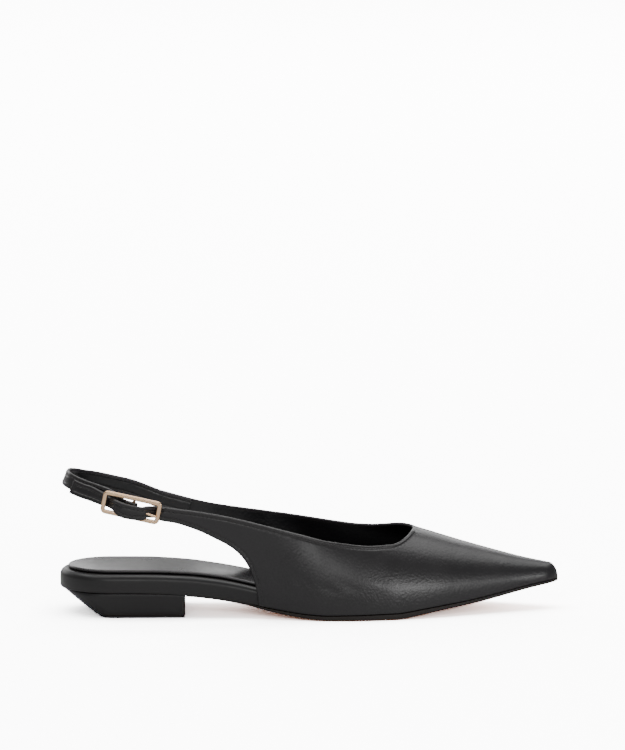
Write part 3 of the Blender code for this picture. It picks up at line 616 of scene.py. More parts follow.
# %% Directions of the buckle and path of the billet
BUCKLE_FORWARD = Vector((math.cos(BUCKLE_SLOPE) * math.cos(BUCKLE_TURN),
                         -math.cos(BUCKLE_SLOPE) * math.sin(BUCKLE_TURN),
                         -math.sin(BUCKLE_SLOPE)))
BUCKLE_OUT = Vector((-math.sin(BUCKLE_TURN), -math.cos(BUCKLE_TURN), 0.0))
BUCKLE_ACROSS = BUCKLE_OUT.cross(BUCKLE_FORWARD)


def at_buckle(along, over, beyond):
    """World point from the buckle's own coordinates."""
    return BUCKLE_CENTRE + BUCKLE_FORWARD * along + BUCKLE_ACROSS * over + BUCKLE_OUT * beyond


def buckle_matrix(along=0.0):
    """Places a piece in the buckle's own axes."""
    turn = Matrix((BUCKLE_FORWARD, BUCKLE_ACROSS, BUCKLE_OUT)).transposed().to_4x4()
    return Matrix.Translation(at_buckle(along, 0.0, 0.0)) @ turn


def sling_point(turn, side, stand_off=0.0, drop=0.0):
    """Point on the strap's middle line: turn 0 is the back of the heel, a right angle its end."""
    along = math.cos(turn) ** (2 / STRAP_ROUND)
    wide = math.sin(turn) ** (2 / STRAP_ROUND)
    x = STRAP_FRONT_X - (STRAP_FRONT_X + STRAP_BACK_X + stand_off) * along
    forward = (x - REAR_X) / (STRAP_END_X - REAR_X)
    height = read(SLING, COLUMN[side], forward) * STRAP_REAR_HEIGHT - drop
    return Vector((x, side * (STRAP_HALF_SPAN + stand_off) * wide, height))


def lean_guide(turn, side):
    """Up the strap's width: it leans forwards round the heel and a little inwards at the sides."""
    lean = STRAP_LEAN * math.cos(turn) ** 2 + SIDE_LEAN * math.sin(turn) ** 2
    inward = Vector((math.cos(turn), -side * math.sin(turn), 0.0))
    return Vector((0.0, 0.0, math.cos(lean))) + inward * math.sin(lean)


def billet_rows():
    """Columns of the billet: from the quarter's strap end, through the buckle, to its tail."""
    angles = (angle_at_height(STRAP_END_X, strap_end_height(OUTER)),
              topline_angle(STRAP_END_X, OUTER))
    points = [sum((skin(STRAP_END_X, angle, OUTER) for angle in angles), Vector()) / 2]
    sizes = [1.0] + [row.wide for row in BILLET] + [1.0] * len(TAIL_TURNS)
    for row in BILLET:
        points.append(at_buckle(row.along * BUCKLE_LENGTH / 2, row.over * BUCKLE_HEIGHT / 2,
                                blend(BILLET_UNDER_BAR, BILLET_OVER_FOLD, row.lift)))
    guides = [BUCKLE_ACROSS] * len(points)
    for degrees in TAIL_TURNS:
        turn = math.radians(degrees)
        points.append(sling_point(turn, OUTER, TAIL_STAND_OFF, TAIL_DROP))
        guides.append(lean_guide(turn, OUTER))
    path = smooth_path(points, BILLET_SPAN_STEPS)
    wide = across_path(path, smooth_path(guides, BILLET_SPAN_STEPS))
    sizes = smooth_path([Vector((size, 0.0)) for size in sizes], BILLET_SPAN_STEPS)
    rows = []
    for centre, width, size in list(zip(path, wide, sizes))[1:]:
        reach = width * (END_WIDTH[OUTER] * size.x - 2 * LIP)
        rows.append([centre + reach * (s - 0.5) for s in ROW_SHARES])
    return rows[::-1]


billet_grid = billet_rows()
lateral = billet_grid + quarter_columns(OUTER)
print(f"outer half with the billet: {len(lateral)} columns")

# %% [markdown]
# Worn-in leather is never a perfect surface. Around the ball, where the foot bends, and behind
# the throat the skin of this shoe has a few soft creases; they are drawn one by one as shallow
# troughs on the outer face, each from one point of the side to another.

# %% Creases, listed in the shoe's own sizes
CREASES = table(
    "side x1 z1 x2 z2 width depth",
    (OUTER, 64, 30, 72, 21, 1.5, 0.22),
    (OUTER, 70, 27, 76, 18, 1.2, 0.16),
    (OUTER, 75, 28, 84, 19, 1.8, 0.22),
    (OUTER, 83, 25, 90, 17, 1.4, 0.17),
    (OUTER, 92, 20, 104, 15, 2.2, 0.22),
    (OUTER, 103, 22, 116, 15, 2.6, 0.20),
    (OUTER, 118, 22, 130, 17, 2.6, -0.12),
    (INNER, 66, 30, 74, 20, 1.5, 0.16),
    (INNER, 76, 27, 84, 18, 1.6, 0.14),
    (INNER, 88, 23, 99, 16, 2.2, 0.15),
    (INNER, 106, 22, 119, 16, 2.6, 0.15),
)


def crease_depth(point, side):
    """How far the creases press the leather in at a point, in metres."""
    depth = 0.0
    for row in CREASES:
        if row.side != side:
            continue
        start = Vector((row.x1, row.z1)) * MM
        run = Vector((row.x2, row.z2)) * MM - start
        here = Vector((point.x, point.z)) - start
        along = min(1.0, max(0.0, here.dot(run) / run.length_squared))
        away = (here - run * along).length / (row.width * MM)
        fade = 0.35 + 0.65 * math.sin(math.pi * along)
        depth += row.depth * MM * fade * math.exp(-away * away)
    return depth


print(f"{len(CREASES)} creases, deepest {max(row.depth for row in CREASES)} mm")

# %% Helpers for meshes
MERGE = 0.004 * MM


def sheet_faces(bm, rows):
    """Joins rows of corners into a sheet."""
    for row, after in zip(rows, rows[1:]):
        for j in range(len(row) - 1):
            bm.faces.new((row[j], after[j], after[j + 1], row[j + 1]))


def tube_faces(bm, rings, caps=()):
    """Joins rings of corners into a tube and fills the rings that are named as its caps."""
    sheet_faces(bm, [ring + ring[:1] for ring in rings])
    for ring in caps:
        bm.faces.new(ring)


def corners(bm, points):
    """New corners at points."""
    return [bm.verts.new(point) for point in points]


def finish_mesh(bm, name, sharp=None, merge=0.0):
    """Makes a smooth-shaded piece from a mesh in progress, with its faces turned outwards."""
    if merge:
        bmesh.ops.remove_doubles(bm, verts=bm.verts, dist=merge)
        bmesh.ops.dissolve_degenerate(bm, edges=bm.edges, dist=merge / 2)
    bmesh.ops.recalc_face_normals(bm, faces=bm.faces)
    mesh = bpy.data.meshes.new(name)
    bm.to_mesh(mesh)
    bm.free()
    mesh.shade_smooth()
    if sharp is not None:
        mesh.set_sharp_from_angle(angle=math.radians(sharp))
    return add_object(name, mesh)


def keep_modified(piece):
    """Keeps what a piece's modifiers make of it and drops the modifiers."""
    bpy.context.view_layer.update()
    graph = bpy.context.evaluated_depsgraph_get()
    mesh = bpy.data.meshes.new_from_object(piece.evaluated_get(graph))
    piece.modifiers.clear()
    old = piece.data
    piece.data = mesh
    bpy.data.meshes.remove(old)


def combine(piece, tool, operation):
    """Cuts a tool out of a piece or welds it on, and throws the tool away."""
    modifier = piece.modifiers.new("combine", "BOOLEAN")
    modifier.operation = operation
    modifier.solver = "EXACT"
    modifier.object = tool
    keep_modified(piece)
    bpy.data.objects.remove(tool)


def report(piece):
    """Prints a piece's size and fineness."""
    points = [vertex.co for vertex in piece.data.vertices]
    spans = [(max(p[k] for p in points) - min(p[k] for p in points)) / MM for k in range(3)]
    piece.data.calc_loop_triangles()
    print(f"{piece.name}: {spans[0]:.1f} x {spans[1]:.1f} x {spans[2]:.1f} mm,",
          len(piece.data.loop_triangles), "triangles")


report(floor)

# %% Edges of the sheet
LASTED_EDGE = 1.2 * MM
EDGE_FINENESS = 0.1 * MM


def free_edge_tree(edges):
    """Finely spaced points along the edges that stay in sight; the lasted edge is left out."""
    points = []
    for edge in edges:
        a, b = (v.co for v in edge.verts)
        if min(a.z - feather_height(a.x), b.z - feather_height(b.x)) < LASTED_EDGE:
            continue
        count = max(1, round((b - a).length / EDGE_FINENESS))
        points += [a.lerp(b, t) for t in spread(0, 1, count)]
    tree = KDTree(len(points))
    for i, point in enumerate(points):
        tree.insert(point, i)
    tree.balance()
    return tree


def bead_profile(distance):
    """Height of the folded edge over the leather, by distance from the free edge."""
    bead = BEAD_RISE * ease((BEAD_WIDTH - distance) / (0.35 * BEAD_WIDTH))
    off = (distance - BEAD_WIDTH - GROOVE_WIDTH * 0.5) / GROOVE_WIDTH
    return bead - GROOVE_DEPTH * math.exp(-2.2 * off * off)


def edge_reach(vertex, edges):
    """Direction out of the sheet at a vertex of its edge, along the surface."""
    out = Vector()
    for edge in edges:
        a, b = edge.verts
        face = edge.link_faces[0]
        away = (b.co - a.co).cross(face.normal)
        if away.dot((a.co + b.co) / 2 - face.calc_center_median()) < 0:
            away = -away
        out += away.normalized()
    return square_to(out, vertex.normal)


print(f"bead {bead_profile(0.0) / MM:.2f} mm high at the edge")

# %% Wall of leather: outer face, lining and lips
SHEET_MERGE = 0.02 * MM
LINING_TURN = 0.6 * math.pi
CREASE_FADE_MM = 3.0


def joined_sheet(grids):
    """One sheet from several grids of points, with its faces turned outwards."""
    bm = bmesh.new()
    for rows in grids:
        sheet_faces(bm, [corners(bm, row) for row in rows])
    bmesh.ops.remove_doubles(bm, verts=bm.verts, dist=SHEET_MERGE)
    bmesh.ops.dissolve_degenerate(bm, edges=bm.edges, dist=SHEET_MERGE / 4)
    bmesh.ops.recalc_face_normals(bm, faces=bm.faces)
    outermost = min(bm.faces, key=lambda face: face.calc_center_median().y)
    if outermost.normal.y > 0:
        bmesh.ops.reverse_faces(bm, faces=bm.faces)
    bm.normal_update()
    return bm


def add_lining(bm, normals, edge_mm, lining, tree):
    """Gives the sheet its inner face, one wall deeper, and notes each place's distance to an edge."""
    faces = list(bm.faces)
    inner = {}
    for vertex, normal in normals.items():
        twin = bm.verts.new(vertex.co - normal * WALL)
        vertex[edge_mm] = tree.find(vertex.co)[2] / MM
        twin[edge_mm] = vertex[edge_mm]
        # The inner face is marked as lining; the calf shader paints it darker as painted shade.
        twin[lining] = 1.0
        inner[vertex] = twin
    for face in faces:
        bm.faces.new([inner[v] for v in reversed(face.verts)])
    return inner


def lip_ring(bm, vertex, normal, reach, twin, lining):
    """Corners of the round lip between a corner of the outer face and its twin inside."""
    middle = vertex.co - normal * (WALL / 2)
    ring = [vertex]
    for phi in spread(0, math.pi, LIP_STEPS)[1:-1]:
        new = bm.verts.new(middle + normal * (WALL / 2 * math.cos(phi)) + reach * (LIP * math.sin(phi)))
        new[lining] = 1.0 if phi > LINING_TURN else 0.0
        ring.append(new)
    return ring + [twin]


def leather_wall(name, grids):
    """Turns sheets of points into a leather wall with folded edges."""
    bm = joined_sheet(grids)
    edge_mm = bm.verts.layers.float.new("edge_mm")
    lining = bm.verts.layers.float.new("lining")
    rim = [edge for edge in bm.edges if edge.is_boundary]
    loops = {}
    for edge in rim:
        for vertex in edge.verts:
            loops.setdefault(vertex, []).append(edge)
    reaches = {vertex: edge_reach(vertex, edges) for vertex, edges in loops.items()}
    normals = {vertex: vertex.normal.copy() for vertex in bm.verts}
    inner = add_lining(bm, normals, edge_mm, lining, free_edge_tree(rim))
    rings = {vertex: lip_ring(bm, vertex, normals[vertex], reach, inner[vertex], lining)
             for vertex, reach in reaches.items()}
    for edge in rim:
        a, b = (rings[vertex] for vertex in edge.verts)
        for low, high in zip(range(LIP_STEPS), range(1, LIP_STEPS + 1)):
            bm.faces.new((a[low], b[low], b[high], a[high]))
    for vertex, normal in normals.items():
        side = OUTER if vertex.co.y < 0 else INNER
        rise = bead_profile(vertex[edge_mm] * MM) if vertex not in loops else 0.0
        fade = ease(vertex[edge_mm] / CREASE_FADE_MM)
        vertex.co += normal * (rise - crease_depth(vertex.co, side) * fade)
    return finish_mesh(bm, name)


calf_upper = leather_wall("calf_upper", [medial, lateral])
report(calf_upper)

# %% Hole in the billet for the prong
HOLE_WIDTH = 1.6 * MM
HOLE_ALONG_PRONG = 0.72
HOLE_CUT_DEPTH = 11.0 * MM


def slot_cutter(length, height, depth, place):
    """A prism with round ends, laid in the buckle's axes."""
    bm = bmesh.new()
    outline = []
    for end, first in ((1, -90), (-1, 90)):
        outline += [(end * (length - height) / 2 + height / 2 * c, height / 2 * s)
                    for c, s in arc(first, first + 180, 8)]
    rings = [corners(bm, [(x, y, z) for x, y in outline]) for z in (-depth / 2, depth / 2)]
    tube_faces(bm, rings, caps=rings)
    cutter = finish_mesh(bm, "cutter")
    cutter.matrix_world = place
    return cutter


prong_run = Vector((PRONG_LENGTH * PRONG_BEND, -PRONG_DIP * PRONG_BEND,
                    PRONG_REST + GAP / 2 - PRONG_RING))
prong_turn = prong_run.to_track_quat("Z", "Y").to_matrix().to_4x4()
prong_middle = Vector((CENTRE_BAR_AT, 0.0, PRONG_RING)) + prong_run * HOLE_ALONG_PRONG
hole_place = buckle_matrix() @ Matrix.Translation(prong_middle) @ prong_turn
combine(calf_upper, slot_cutter(HOLE_WIDTH + 0.01 * MM, HOLE_WIDTH, HOLE_CUT_DEPTH, hole_place),
        "DIFFERENCE")
report(calf_upper)

# %% [markdown]
# ## The sling strap
#
# A narrow band of the same leather, folded over a tape so that both faces are grain side. It is
# stitched inside the inner quarter, runs round the back of the heel, and its end folds round the
# buckle's centre bar. A band swept along one path, with soft round edges, gives exactly that.

# %% Path and section of the strap
STRAP_LAP = 16.0 * MM
INNER_TURNS = (72, 60, 48, 36, 24, 12)
OUTER_TURNS = (0, 12, 24, 36, 47)
STRAP_LAP_LEAN = Vector((-0.06, -1.0, 0.0)).normalized()
STRAP_LAP_ROOM = 0.1 * MM
# The fold: places along the buckle, and distances beyond it as shares of the turn's radius.
FOLD_IN = (CENTRE_BAR_AT - 2.2 * MM, -1.08)
FOLD_TURNS = (-90, -45, 0, 45, 90, 125)
FOLD_BACK = (CENTRE_BAR_AT - 2.4 * MM, 0.40)
FOLD_END = (-0.11 * BUCKLE_LENGTH, 0.15)
STRAP_SPAN_STEPS = 12
HEEL_MIDDLE_X = -8.0 * MM
STRAP_SLOT_ROOM = 0.8 * MM
STRAP_SLOT_DEPTH = 9.0 * MM


def strap_controls():
    """Path of the strap: places, directions across it, widths and thicknesses."""
    controls = []
    for x in (STRAP_END_X + STRAP_LAP, STRAP_END_X + STRAP_LAP / 2, STRAP_END_X):
        top = topline_angle(x, INNER)
        low = angle_at_height(x, skin(x, top, INNER).z - STRAP_END_WIDTH)
        tilt = (skin(x, top, INNER) - skin(x, low, INNER)).normalized()
        inwards = square_to(STRAP_LAP_LEAN, tilt)
        depth = WALL + GAP + STRAP_THICKNESS / 2 + STRAP_LAP_ROOM
        controls.append((skin(x, (top + low) / 2, INNER) + inwards * depth, tilt,
                         STRAP_END_WIDTH, STRAP_THICKNESS))
    turns = [(degrees, INNER, degrees / INNER_TURNS[0]) for degrees in INNER_TURNS]
    turns += [(degrees, OUTER, 0.0) for degrees in OUTER_TURNS]
    for degrees, side, widening in turns:
        turn = math.radians(degrees)
        controls.append((sling_point(turn, side), lean_guide(turn, side),
                         blend(STRAP_WIDTH, STRAP_END_WIDTH, widening), STRAP_THICKNESS))
    for row in UNDER_BUCKLE:
        point = at_buckle(row.along * BUCKLE_LENGTH / 2, row.over * BUCKLE_HEIGHT / 2,
                          STRAP_UNDER_TAIL + row.lift * STRAP_THICKNESS)
        controls.append((point, BUCKLE_ACROSS, blend(FOLD_WIDTH, STRAP_WIDTH, row.full),
                         blend(FOLD_THICKNESS, STRAP_THICKNESS, row.full)))
    round_bar = CENTRE_BAR_RADIUS + GAP + FOLD_THICKNESS / 2
    turns = [math.radians(degrees) for degrees in FOLD_TURNS]
    fold = [(CENTRE_BAR_AT + round_bar * math.cos(turn), math.sin(turn)) for turn in turns]
    for along, beyond in [FOLD_IN] + fold + [FOLD_BACK, FOLD_END]:
        controls.append((at_buckle(along, 0.0, round_bar * beyond), BUCKLE_ACROSS,
                         FOLD_WIDTH, FOLD_THICKNESS))
    return controls


def band_section(width, thickness):
    """Section of a folded band: round edges, and a fine groove beside each of them."""
    edge = thickness / 2
    flat = width / 2 - edge
    bead = min(BEAD_WIDTH * 0.8, flat * 0.5)
    inside = flat - bead
    face = [(0.0, 0.0), (inside * 0.5, 0.0), (inside - 0.40 * MM, 0.01 * MM),
            (inside - 0.20 * MM, 0.12 * MM), (inside, 0.01 * MM), (inside + bead * 0.5, 0.0)]
    half = [(at, sink - edge) for at, sink in face]
    half += [(flat + edge * 0.9 * c, edge * s) for c, s in arc(-90, 90, 8)]
    half += [(at, edge - sink) for at, sink in reversed(face)]
    return half + [(-w, n) for w, n in reversed(half[1:-1])]


def sweep_band(name, path, wide, sizes):
    """Closed band along a path."""
    bm = bmesh.new()
    edge_mm = bm.verts.layers.float.new("edge_mm")
    lining = bm.verts.layers.float.new("lining")
    rings = []
    for centre, along, width, size in zip(path, directions(path), wide, sizes):
        normal = along.cross(width)
        ring = []
        for w, n in band_section(size.x, size.y):
            vertex = bm.verts.new(centre + width * w + normal * n)
            vertex[edge_mm] = (size.x / 2 - abs(w)) / MM
            # The face turned towards the heel is marked like a lining, so the calf shader paints it darker
            # as painted shade.
            inwards = (normal * n).dot(Vector((HEEL_MIDDLE_X - centre.x, -centre.y, 0.0)))
            vertex[lining] = 1.0 if inwards > 0 and abs(w) < size.x / 2 - size.y * 0.4 else 0.0
            ring.append(vertex)
        rings.append(ring)
    tube_faces(bm, rings, caps=(rings[0], rings[-1]))
    return finish_mesh(bm, name, sharp=60)


controls = strap_controls()
print(len(controls), "places guide the strap")

# %% Strap, swept along its path and slotted for the prong
strap_path = smooth_path([c[0] for c in controls], STRAP_SPAN_STEPS)
strap_wide = across_path(strap_path, smooth_path([c[1] for c in controls], STRAP_SPAN_STEPS))
strap_sizes = smooth_path([Vector((c[2], c[3], 0.0)) for c in controls], STRAP_SPAN_STEPS)
calf_strap = sweep_band("calf_strap", strap_path, strap_wide, strap_sizes)
slot = slot_cutter(2 * (PRONG_RING + PRONG_RADIUS + STRAP_SLOT_ROOM),
                   2 * PRONG_RADIUS + STRAP_SLOT_ROOM, STRAP_SLOT_DEPTH, buckle_matrix(CENTRE_BAR_AT))
combine(calf_strap, slot, "DIFFERENCE")
report(calf_strap)

# %% [markdown]
# ## Footbed and sock
#
# The foot rests on a board that is thick under the heel and the arch and thin inside the
# forefoot. The board is wrapped in the same black leather, so its rim is round and its side is
# bare to the eye. On top lies a thin padded sock with a turned edge, a little smaller than it.

# %% Wrapped board
BOARD_THICKNESS = 10.2 * MM
BOARD_THIN = 2.2 * MM
BOARD_END_GAP = 4.0 * MM
RIM_THIN = 0.8 * MM
RIM_FULL = 3.6 * MM
UNDER_ROUND = 1.1 * MM
UNDER_SHARP = 0.2 * MM
UNDER_FADE = 30.0 * MM
BOARD = table(
    "at full",
    (0.000, 1.00),
    (0.300, 1.00),
    (0.394, 0.90),
    (0.460, 0.60),
    (0.530, 0.20),
    (0.590, 0.00),
    (1.000, 0.00),
)
board_end = TOE_X - BOARD_END_GAP


def by_board(thin, full, x):
    """A size that goes with the board: full where it is thick, thin under the forefoot."""
    return blend(thin, full, read(BOARD, "full", share(x)))


def board_top(x):
    """Height of the board's upper face."""
    return feather_height(x) + by_board(BOARD_THIN, BOARD_THICKNESS, x)


def rim_radius(x):
    """Radius of the board's upper rim."""
    return by_board(RIM_THIN, RIM_FULL, x)


def under_radius(x):
    """The wrap turns in below: softly round the seat, sharply where the sole is joined."""
    return blend(UNDER_SHARP, UNDER_ROUND, ease((HEEL_FRONT - x) / UNDER_FADE))


def board_outline(end_x, inset_at, height_at):
    """Both edges of a board at one level: inset and height follow the place along the shoe."""
    start = REAR_X + inset_at(REAR_X)
    seat = REAR_X + SEAT_ROUND - start
    nose = end_x - NOSE_LENGTH
    stations = [start + seat * (1 - c) for c, _ in arc(0, 90, 28)]
    stations += spread(start + seat, nose, 90)[1:]
    stations += [end_x - NOSE_LENGTH * (1 - s) for _, s in arc(0, 90, 12)[1:]]
    edges = ([], [])
    for x in stations:
        inset = inset_at(x)
        middle, half = plan(max(x, REAR_X + inset), end_x, inset)
        half = max(half, 0.02 * MM)
        for edge, side in zip(edges, (-1, 1)):
            edge.append(Vector((x, middle + side * half, height_at(x))))
    return edges


def stacked_board(name, outlines, crown=0.0):
    """Solid from a stack of outlines; its top may swell a little towards the middle."""
    bm = bmesh.new()
    levels = [[corners(bm, edge) for edge in outline] for outline in outlines]
    tube_faces(bm, [left + right[::-1] for left, right in levels])
    for (left, right), swell in ((levels[0], 0.0), (levels[-1], crown)):
        columns = [left]
        for f in spread(0, 1, 8)[1:-1]:
            column = []
            for a, b in zip(left, right):
                width = (b.co - a.co).length
                lift = swell * min(1.0, width / (BALL_WIDTH / 2)) * 4 * f * (1 - f)
                column.append(bm.verts.new(a.co.lerp(b.co, f) + Vector((0, 0, lift))))
            columns.append(column)
        sheet_faces(bm, columns + [right])
    return finish_mesh(bm, name, sharp=40, merge=MERGE)


outlines = [board_outline(board_end, lambda x: under_radius(x) * (1 - s),
                          lambda x: feather_height(x) + under_radius(x) * (1 - c))
            for c, s in arc(0, 90, 6)]
outlines += [board_outline(board_end, lambda x: rim_radius(x) * (1 - c),
                           lambda x: board_top(x) - rim_radius(x) * (1 - s))
             for c, s in arc(0, 90, 10)]
wrapped_footbed = stacked_board("wrapped_footbed", outlines)
report(wrapped_footbed)

# %% Padded sock
SOCK_THICKNESS = 1.8 * MM
SOCK_THIN = 1.2 * MM
SOCK_INSET = 4.4 * MM
SOCK_FRONT_INSET = 1.0 * MM
SOCK_CROWN = 0.7 * MM
SOCK_EDGE = 1.2 * MM


def sock_height(x, up):
    """Height in the sock, from -1 at its lower face to 1 at its upper one."""
    return board_top(x) + GAP + by_board(SOCK_THIN, SOCK_THICKNESS, x) / 2 * (1 + up)


outlines = [board_outline(board_end - NOSE_LENGTH,
                          lambda x: by_board(SOCK_FRONT_INSET, SOCK_INSET, x) + SOCK_EDGE * (1 - c),
                          lambda x: sock_height(x, s))
            for c, s in arc(-90, 90, 12)]
padded_sock = stacked_board("padded_sock", outlines, crown=SOCK_CROWN)
report(padded_sock)

# %% [markdown]
# ## Sole, heel and top piece
#
# The leather sole is tan underneath and its cut edge is inked dark. It starts at the heel's flat
# breast, springs over the arch, lies flat under the ball and turns up at the toe. The low heel is
# a block covered in black leather, and a thin rubber top piece takes the wear.

# %% Outsole
SOLE_INSET = 3.0 * MM
SOLE_WIDENS_AT = 0.36
SOLE_WIDENS_OVER = 0.06
SOLE_BEVEL = 0.3


def loft(name, sections, sharp):
    """Closed solid through rings of points; an end ring of no width is zipped shut."""
    bm = bmesh.new()
    rings = [corners(bm, section) for section in sections]
    caps = []
    for ring in (rings[0], rings[-1]):
        across = [corner.co.y for corner in ring]
        if max(across) - min(across) > 0.1 * MM:
            caps.append(ring)
    tube_faces(bm, rings, caps)
    return finish_mesh(bm, name, sharp, merge=MERGE)


def sole_section(x):
    """Ring of the sole at a place: a flat underside, bevelled edges and a level top."""
    middle, half = plan(x)
    narrow = (SOLE_INSET + WALL) * (1 - ease((share(x) - SOLE_WIDENS_AT) / SOLE_WIDENS_OVER))
    half += (WALL + GAP - narrow) * rounding(TOE_X - x, NOSE_LENGTH)
    low, high = tread_height(x), feather_height(x) - GAP
    bevel = min((high - low) * SOLE_BEVEL, half / 3)
    ring = [(half * t, low) for t in (0.0, 0.4, 0.8)] + [(max(half - bevel * 1.4, half * 0.8), low)]
    ring += [(half - bevel * (1 - s), low + bevel * (1 - c)) for c, s in arc(0, 90, 4)]
    ring += [(half, (low + bevel + high) / 2), (half, high - 0.1 * MM), (half - 0.15 * MM, high)]
    ring = ring[1:] + [(-y, z) for y, z in reversed(ring)]
    return [Vector((x, middle + y, z)) for y, z in ring]


nose_start = TOE_X - NOSE_LENGTH
sole_places = spread(HEEL_FRONT + GAP, nose_start, 130)
sole_places += [nose_start + NOSE_LENGTH * s for _, s in arc(0, 90, 16)[1:]]
leather_sole = loft("leather_sole", [sole_section(x) for x in sole_places], sharp=50)
report(leather_sole)

# %% Heel block and top piece
HEEL_BACK_X = 26.0 * MM
HEEL_FOOT_HALF_WIDTH = 24.0 * MM
HEEL_FOOT_STRAIGHT = 12.0 * MM
HEEL_FOOT_SQUARE = 5.0
HEEL_TOP_SETIN = 1.6 * MM
HEEL_EDGE = 0.3 * MM
TIP_THICKNESS = 1.4 * MM
TIP_SETIN = 0.4 * MM
TIP_EDGE = 0.15 * MM
HEEL_CORNER = 0.8 * MM
HEEL_TOP = feather_height(0.0) - GAP


def heel_ring(height, setin=0.0):
    """Outline of the heel at a height: a flat breast, then a back that slants in below."""
    up = height / HEEL_TOP
    back = blend(-HEEL_BACK_X, REAR_X + HEEL_TOP_SETIN, up) + setin
    bend_x = blend(-HEEL_FOOT_STRAIGHT, REAR_X + SEAT_ROUND, up)
    power = blend(HEEL_FOOT_SQUARE, 2, up)
    breast = HEEL_FRONT - setin
    edges = []
    for side in (OUTER, INNER):
        points = []
        for x in [breast] * 5 + spread(breast - HEEL_CORNER, bend_x, 16):
            middle, full = plan(x)
            half = blend(HEEL_FOOT_HALF_WIDTH, full - HEEL_TOP_SETIN / 2, up)
            points.append([x, side * (half - setin) + middle * up])
        for point, (c, s) in zip(points, arc(0, 90, 5)[:-1]):
            point[0] = breast - HEEL_CORNER * (1 - c)
            point[1] -= side * HEEL_CORNER * (1 - s)
        last = points[-1][1]
        for c, s in arc(0, 90, 34)[1:]:
            points.append([blend(bend_x, back, s ** (2 / power)), last * max(0.0, c) ** (2 / power)])
        edges.append(points)
    return [Vector((x, y, height)) for x, y in edges[0] + edges[1][::-1][1:]]


def heel_block(name, low, high, setin, corner, seat=False):
    """Block between two heights of the heel's outline, with a soft lower and upper edge."""
    sections = [(low + corner * (1 - c), setin + corner * (1 - k / 4) ** 2)
                for k, (c, _) in enumerate(arc(0, 90, 4))]
    sections += [(height, setin) for height in spread(low + corner, high - corner / 2, 8)[1:]]
    sections.append((high, setin + corner / 3))
    rings = [heel_ring(height, inset) for height, inset in sections]
    if seat:
        for ring in rings:
            for point in ring:
                top = feather_height(point.x) - GAP
                point.z = low + (point.z - low) * (top - low) / (high - low)
    return loft(name, rings, sharp=60)


covered_heel = heel_block("covered_heel", TIP_THICKNESS + GAP / 2, HEEL_TOP, 0.0, HEEL_EDGE, seat=True)
rubber_top_piece = heel_block("rubber_top_piece", 0.0, TIP_THICKNESS, TIP_SETIN, TIP_EDGE)
report(covered_heel)
report(rubber_top_piece)

# %% [markdown]
# ## Buckle
#
# A small cast frame with round corners, polished and plated in pale rose gold. A thin bar crosses
# its middle; the prong turns on it, goes through the billet's hole and rests on the front bar.

# %% Frame and centre bar
FRAME_ROUND = 0.75 * MM


def rounded_path(length, height, radius, per_corner):
    """Points and outward directions along a rounded rectangle."""
    path = []
    for quarter in range(4):
        centre = Vector(((length / 2 - radius) * (1 if quarter in (0, 3) else -1),
                         (height / 2 - radius) * (1 if quarter in (0, 1) else -1)))
        for out in arc(quarter * 90, (quarter + 1) * 90, per_corner):
            path.append((centre + Vector(out) * radius, Vector(out)))
    return path


bm = bmesh.new()
section = [point for point, _ in rounded_path(BUCKLE_BAR, BUCKLE_THICKNESS, FRAME_ROUND, 6)]
middle_line = rounded_path(BUCKLE_LENGTH - BUCKLE_BAR, BUCKLE_HEIGHT - BUCKLE_BAR,
                           BUCKLE_CORNER - BUCKLE_BAR / 2, 12)
rings = [corners(bm, [(point + out * p.x).to_3d() + Vector((0.0, 0.0, p.y)) for p in section])
         for point, out in middle_line]
tube_faces(bm, rings + rings[:1])
gold_buckle = finish_mesh(bm, "gold_buckle")
gold_buckle.data.transform(buckle_matrix())

bm = bmesh.new()
bmesh.ops.create_cone(bm, cap_ends=True, segments=24, radius1=CENTRE_BAR_RADIUS,
                      radius2=CENTRE_BAR_RADIUS, depth=BUCKLE_HEIGHT - BUCKLE_BAR,
                      matrix=buckle_matrix(CENTRE_BAR_AT) @ Matrix.Rotation(math.pi / 2, 4, "X"))
combine(gold_buckle, finish_mesh(bm, "centre_bar"), "UNION")
report(gold_buckle)

# %% Prong
PRONG_TIP = (0.55, 0.85, 0.97)


def rod(name, path, radii, sides=20):
    """Round rod along a path, closed at both ends."""
    bm = bmesh.new()
    rings = []
    for centre, along, radius in zip(path, directions(path), radii):
        side = square_to(Vector((0.0, 1.0, 0.0)), along)
        up = along.cross(side)
        rings.append(corners(bm, [centre + (side * c + up * s) * radius
                                  for c, s in arc(0, 360, sides)[:-1]]))
    tube_faces(bm, rings, caps=(rings[0], rings[-1]))
    return finish_mesh(bm, name, sharp=60)


route = [Vector((CENTRE_BAR_AT + PRONG_RING * c, 0.0, PRONG_RING * s)) for c, s in arc(-60, -270, 21)]
blade = [route[-1]]
for along, height in ((0.30, PRONG_RING), (PRONG_BEND, PRONG_REST + GAP / 2), (1.0, PRONG_REST)):
    blade.append(Vector((CENTRE_BAR_AT + PRONG_LENGTH * along, -PRONG_DIP * along, height)))
route = route[:-1] + smooth_path(blade, 8)
radii = [PRONG_RADIUS] * (len(route) - 3) + [PRONG_RADIUS * scale for scale in reversed(PRONG_TIP)]
gold_prong = rod("gold_prong", route, radii)
gold_prong.data.transform(buckle_matrix())
report(gold_prong)

# %% [markdown]
# ## Stitches
#
# The folded edges are sewn down with fine black thread. Each stitch is a short piece of thread
# that lies half sunk in the groove. A line is traced over the leather at a fixed distance from
# the edge, and Geometry Nodes walks along it and lays one stitch after another.

# %% Stitch lines at a distance from the edge
STITCH_PITCH = 2.3 * MM
STITCH_LENGTH = 1.7 * MM
STITCH_RADIUS = 0.21 * MM
STITCH_FROM_EDGE = BEAD_WIDTH + 0.3 * MM
STITCH_FROM_SOLE = 1.5 * MM


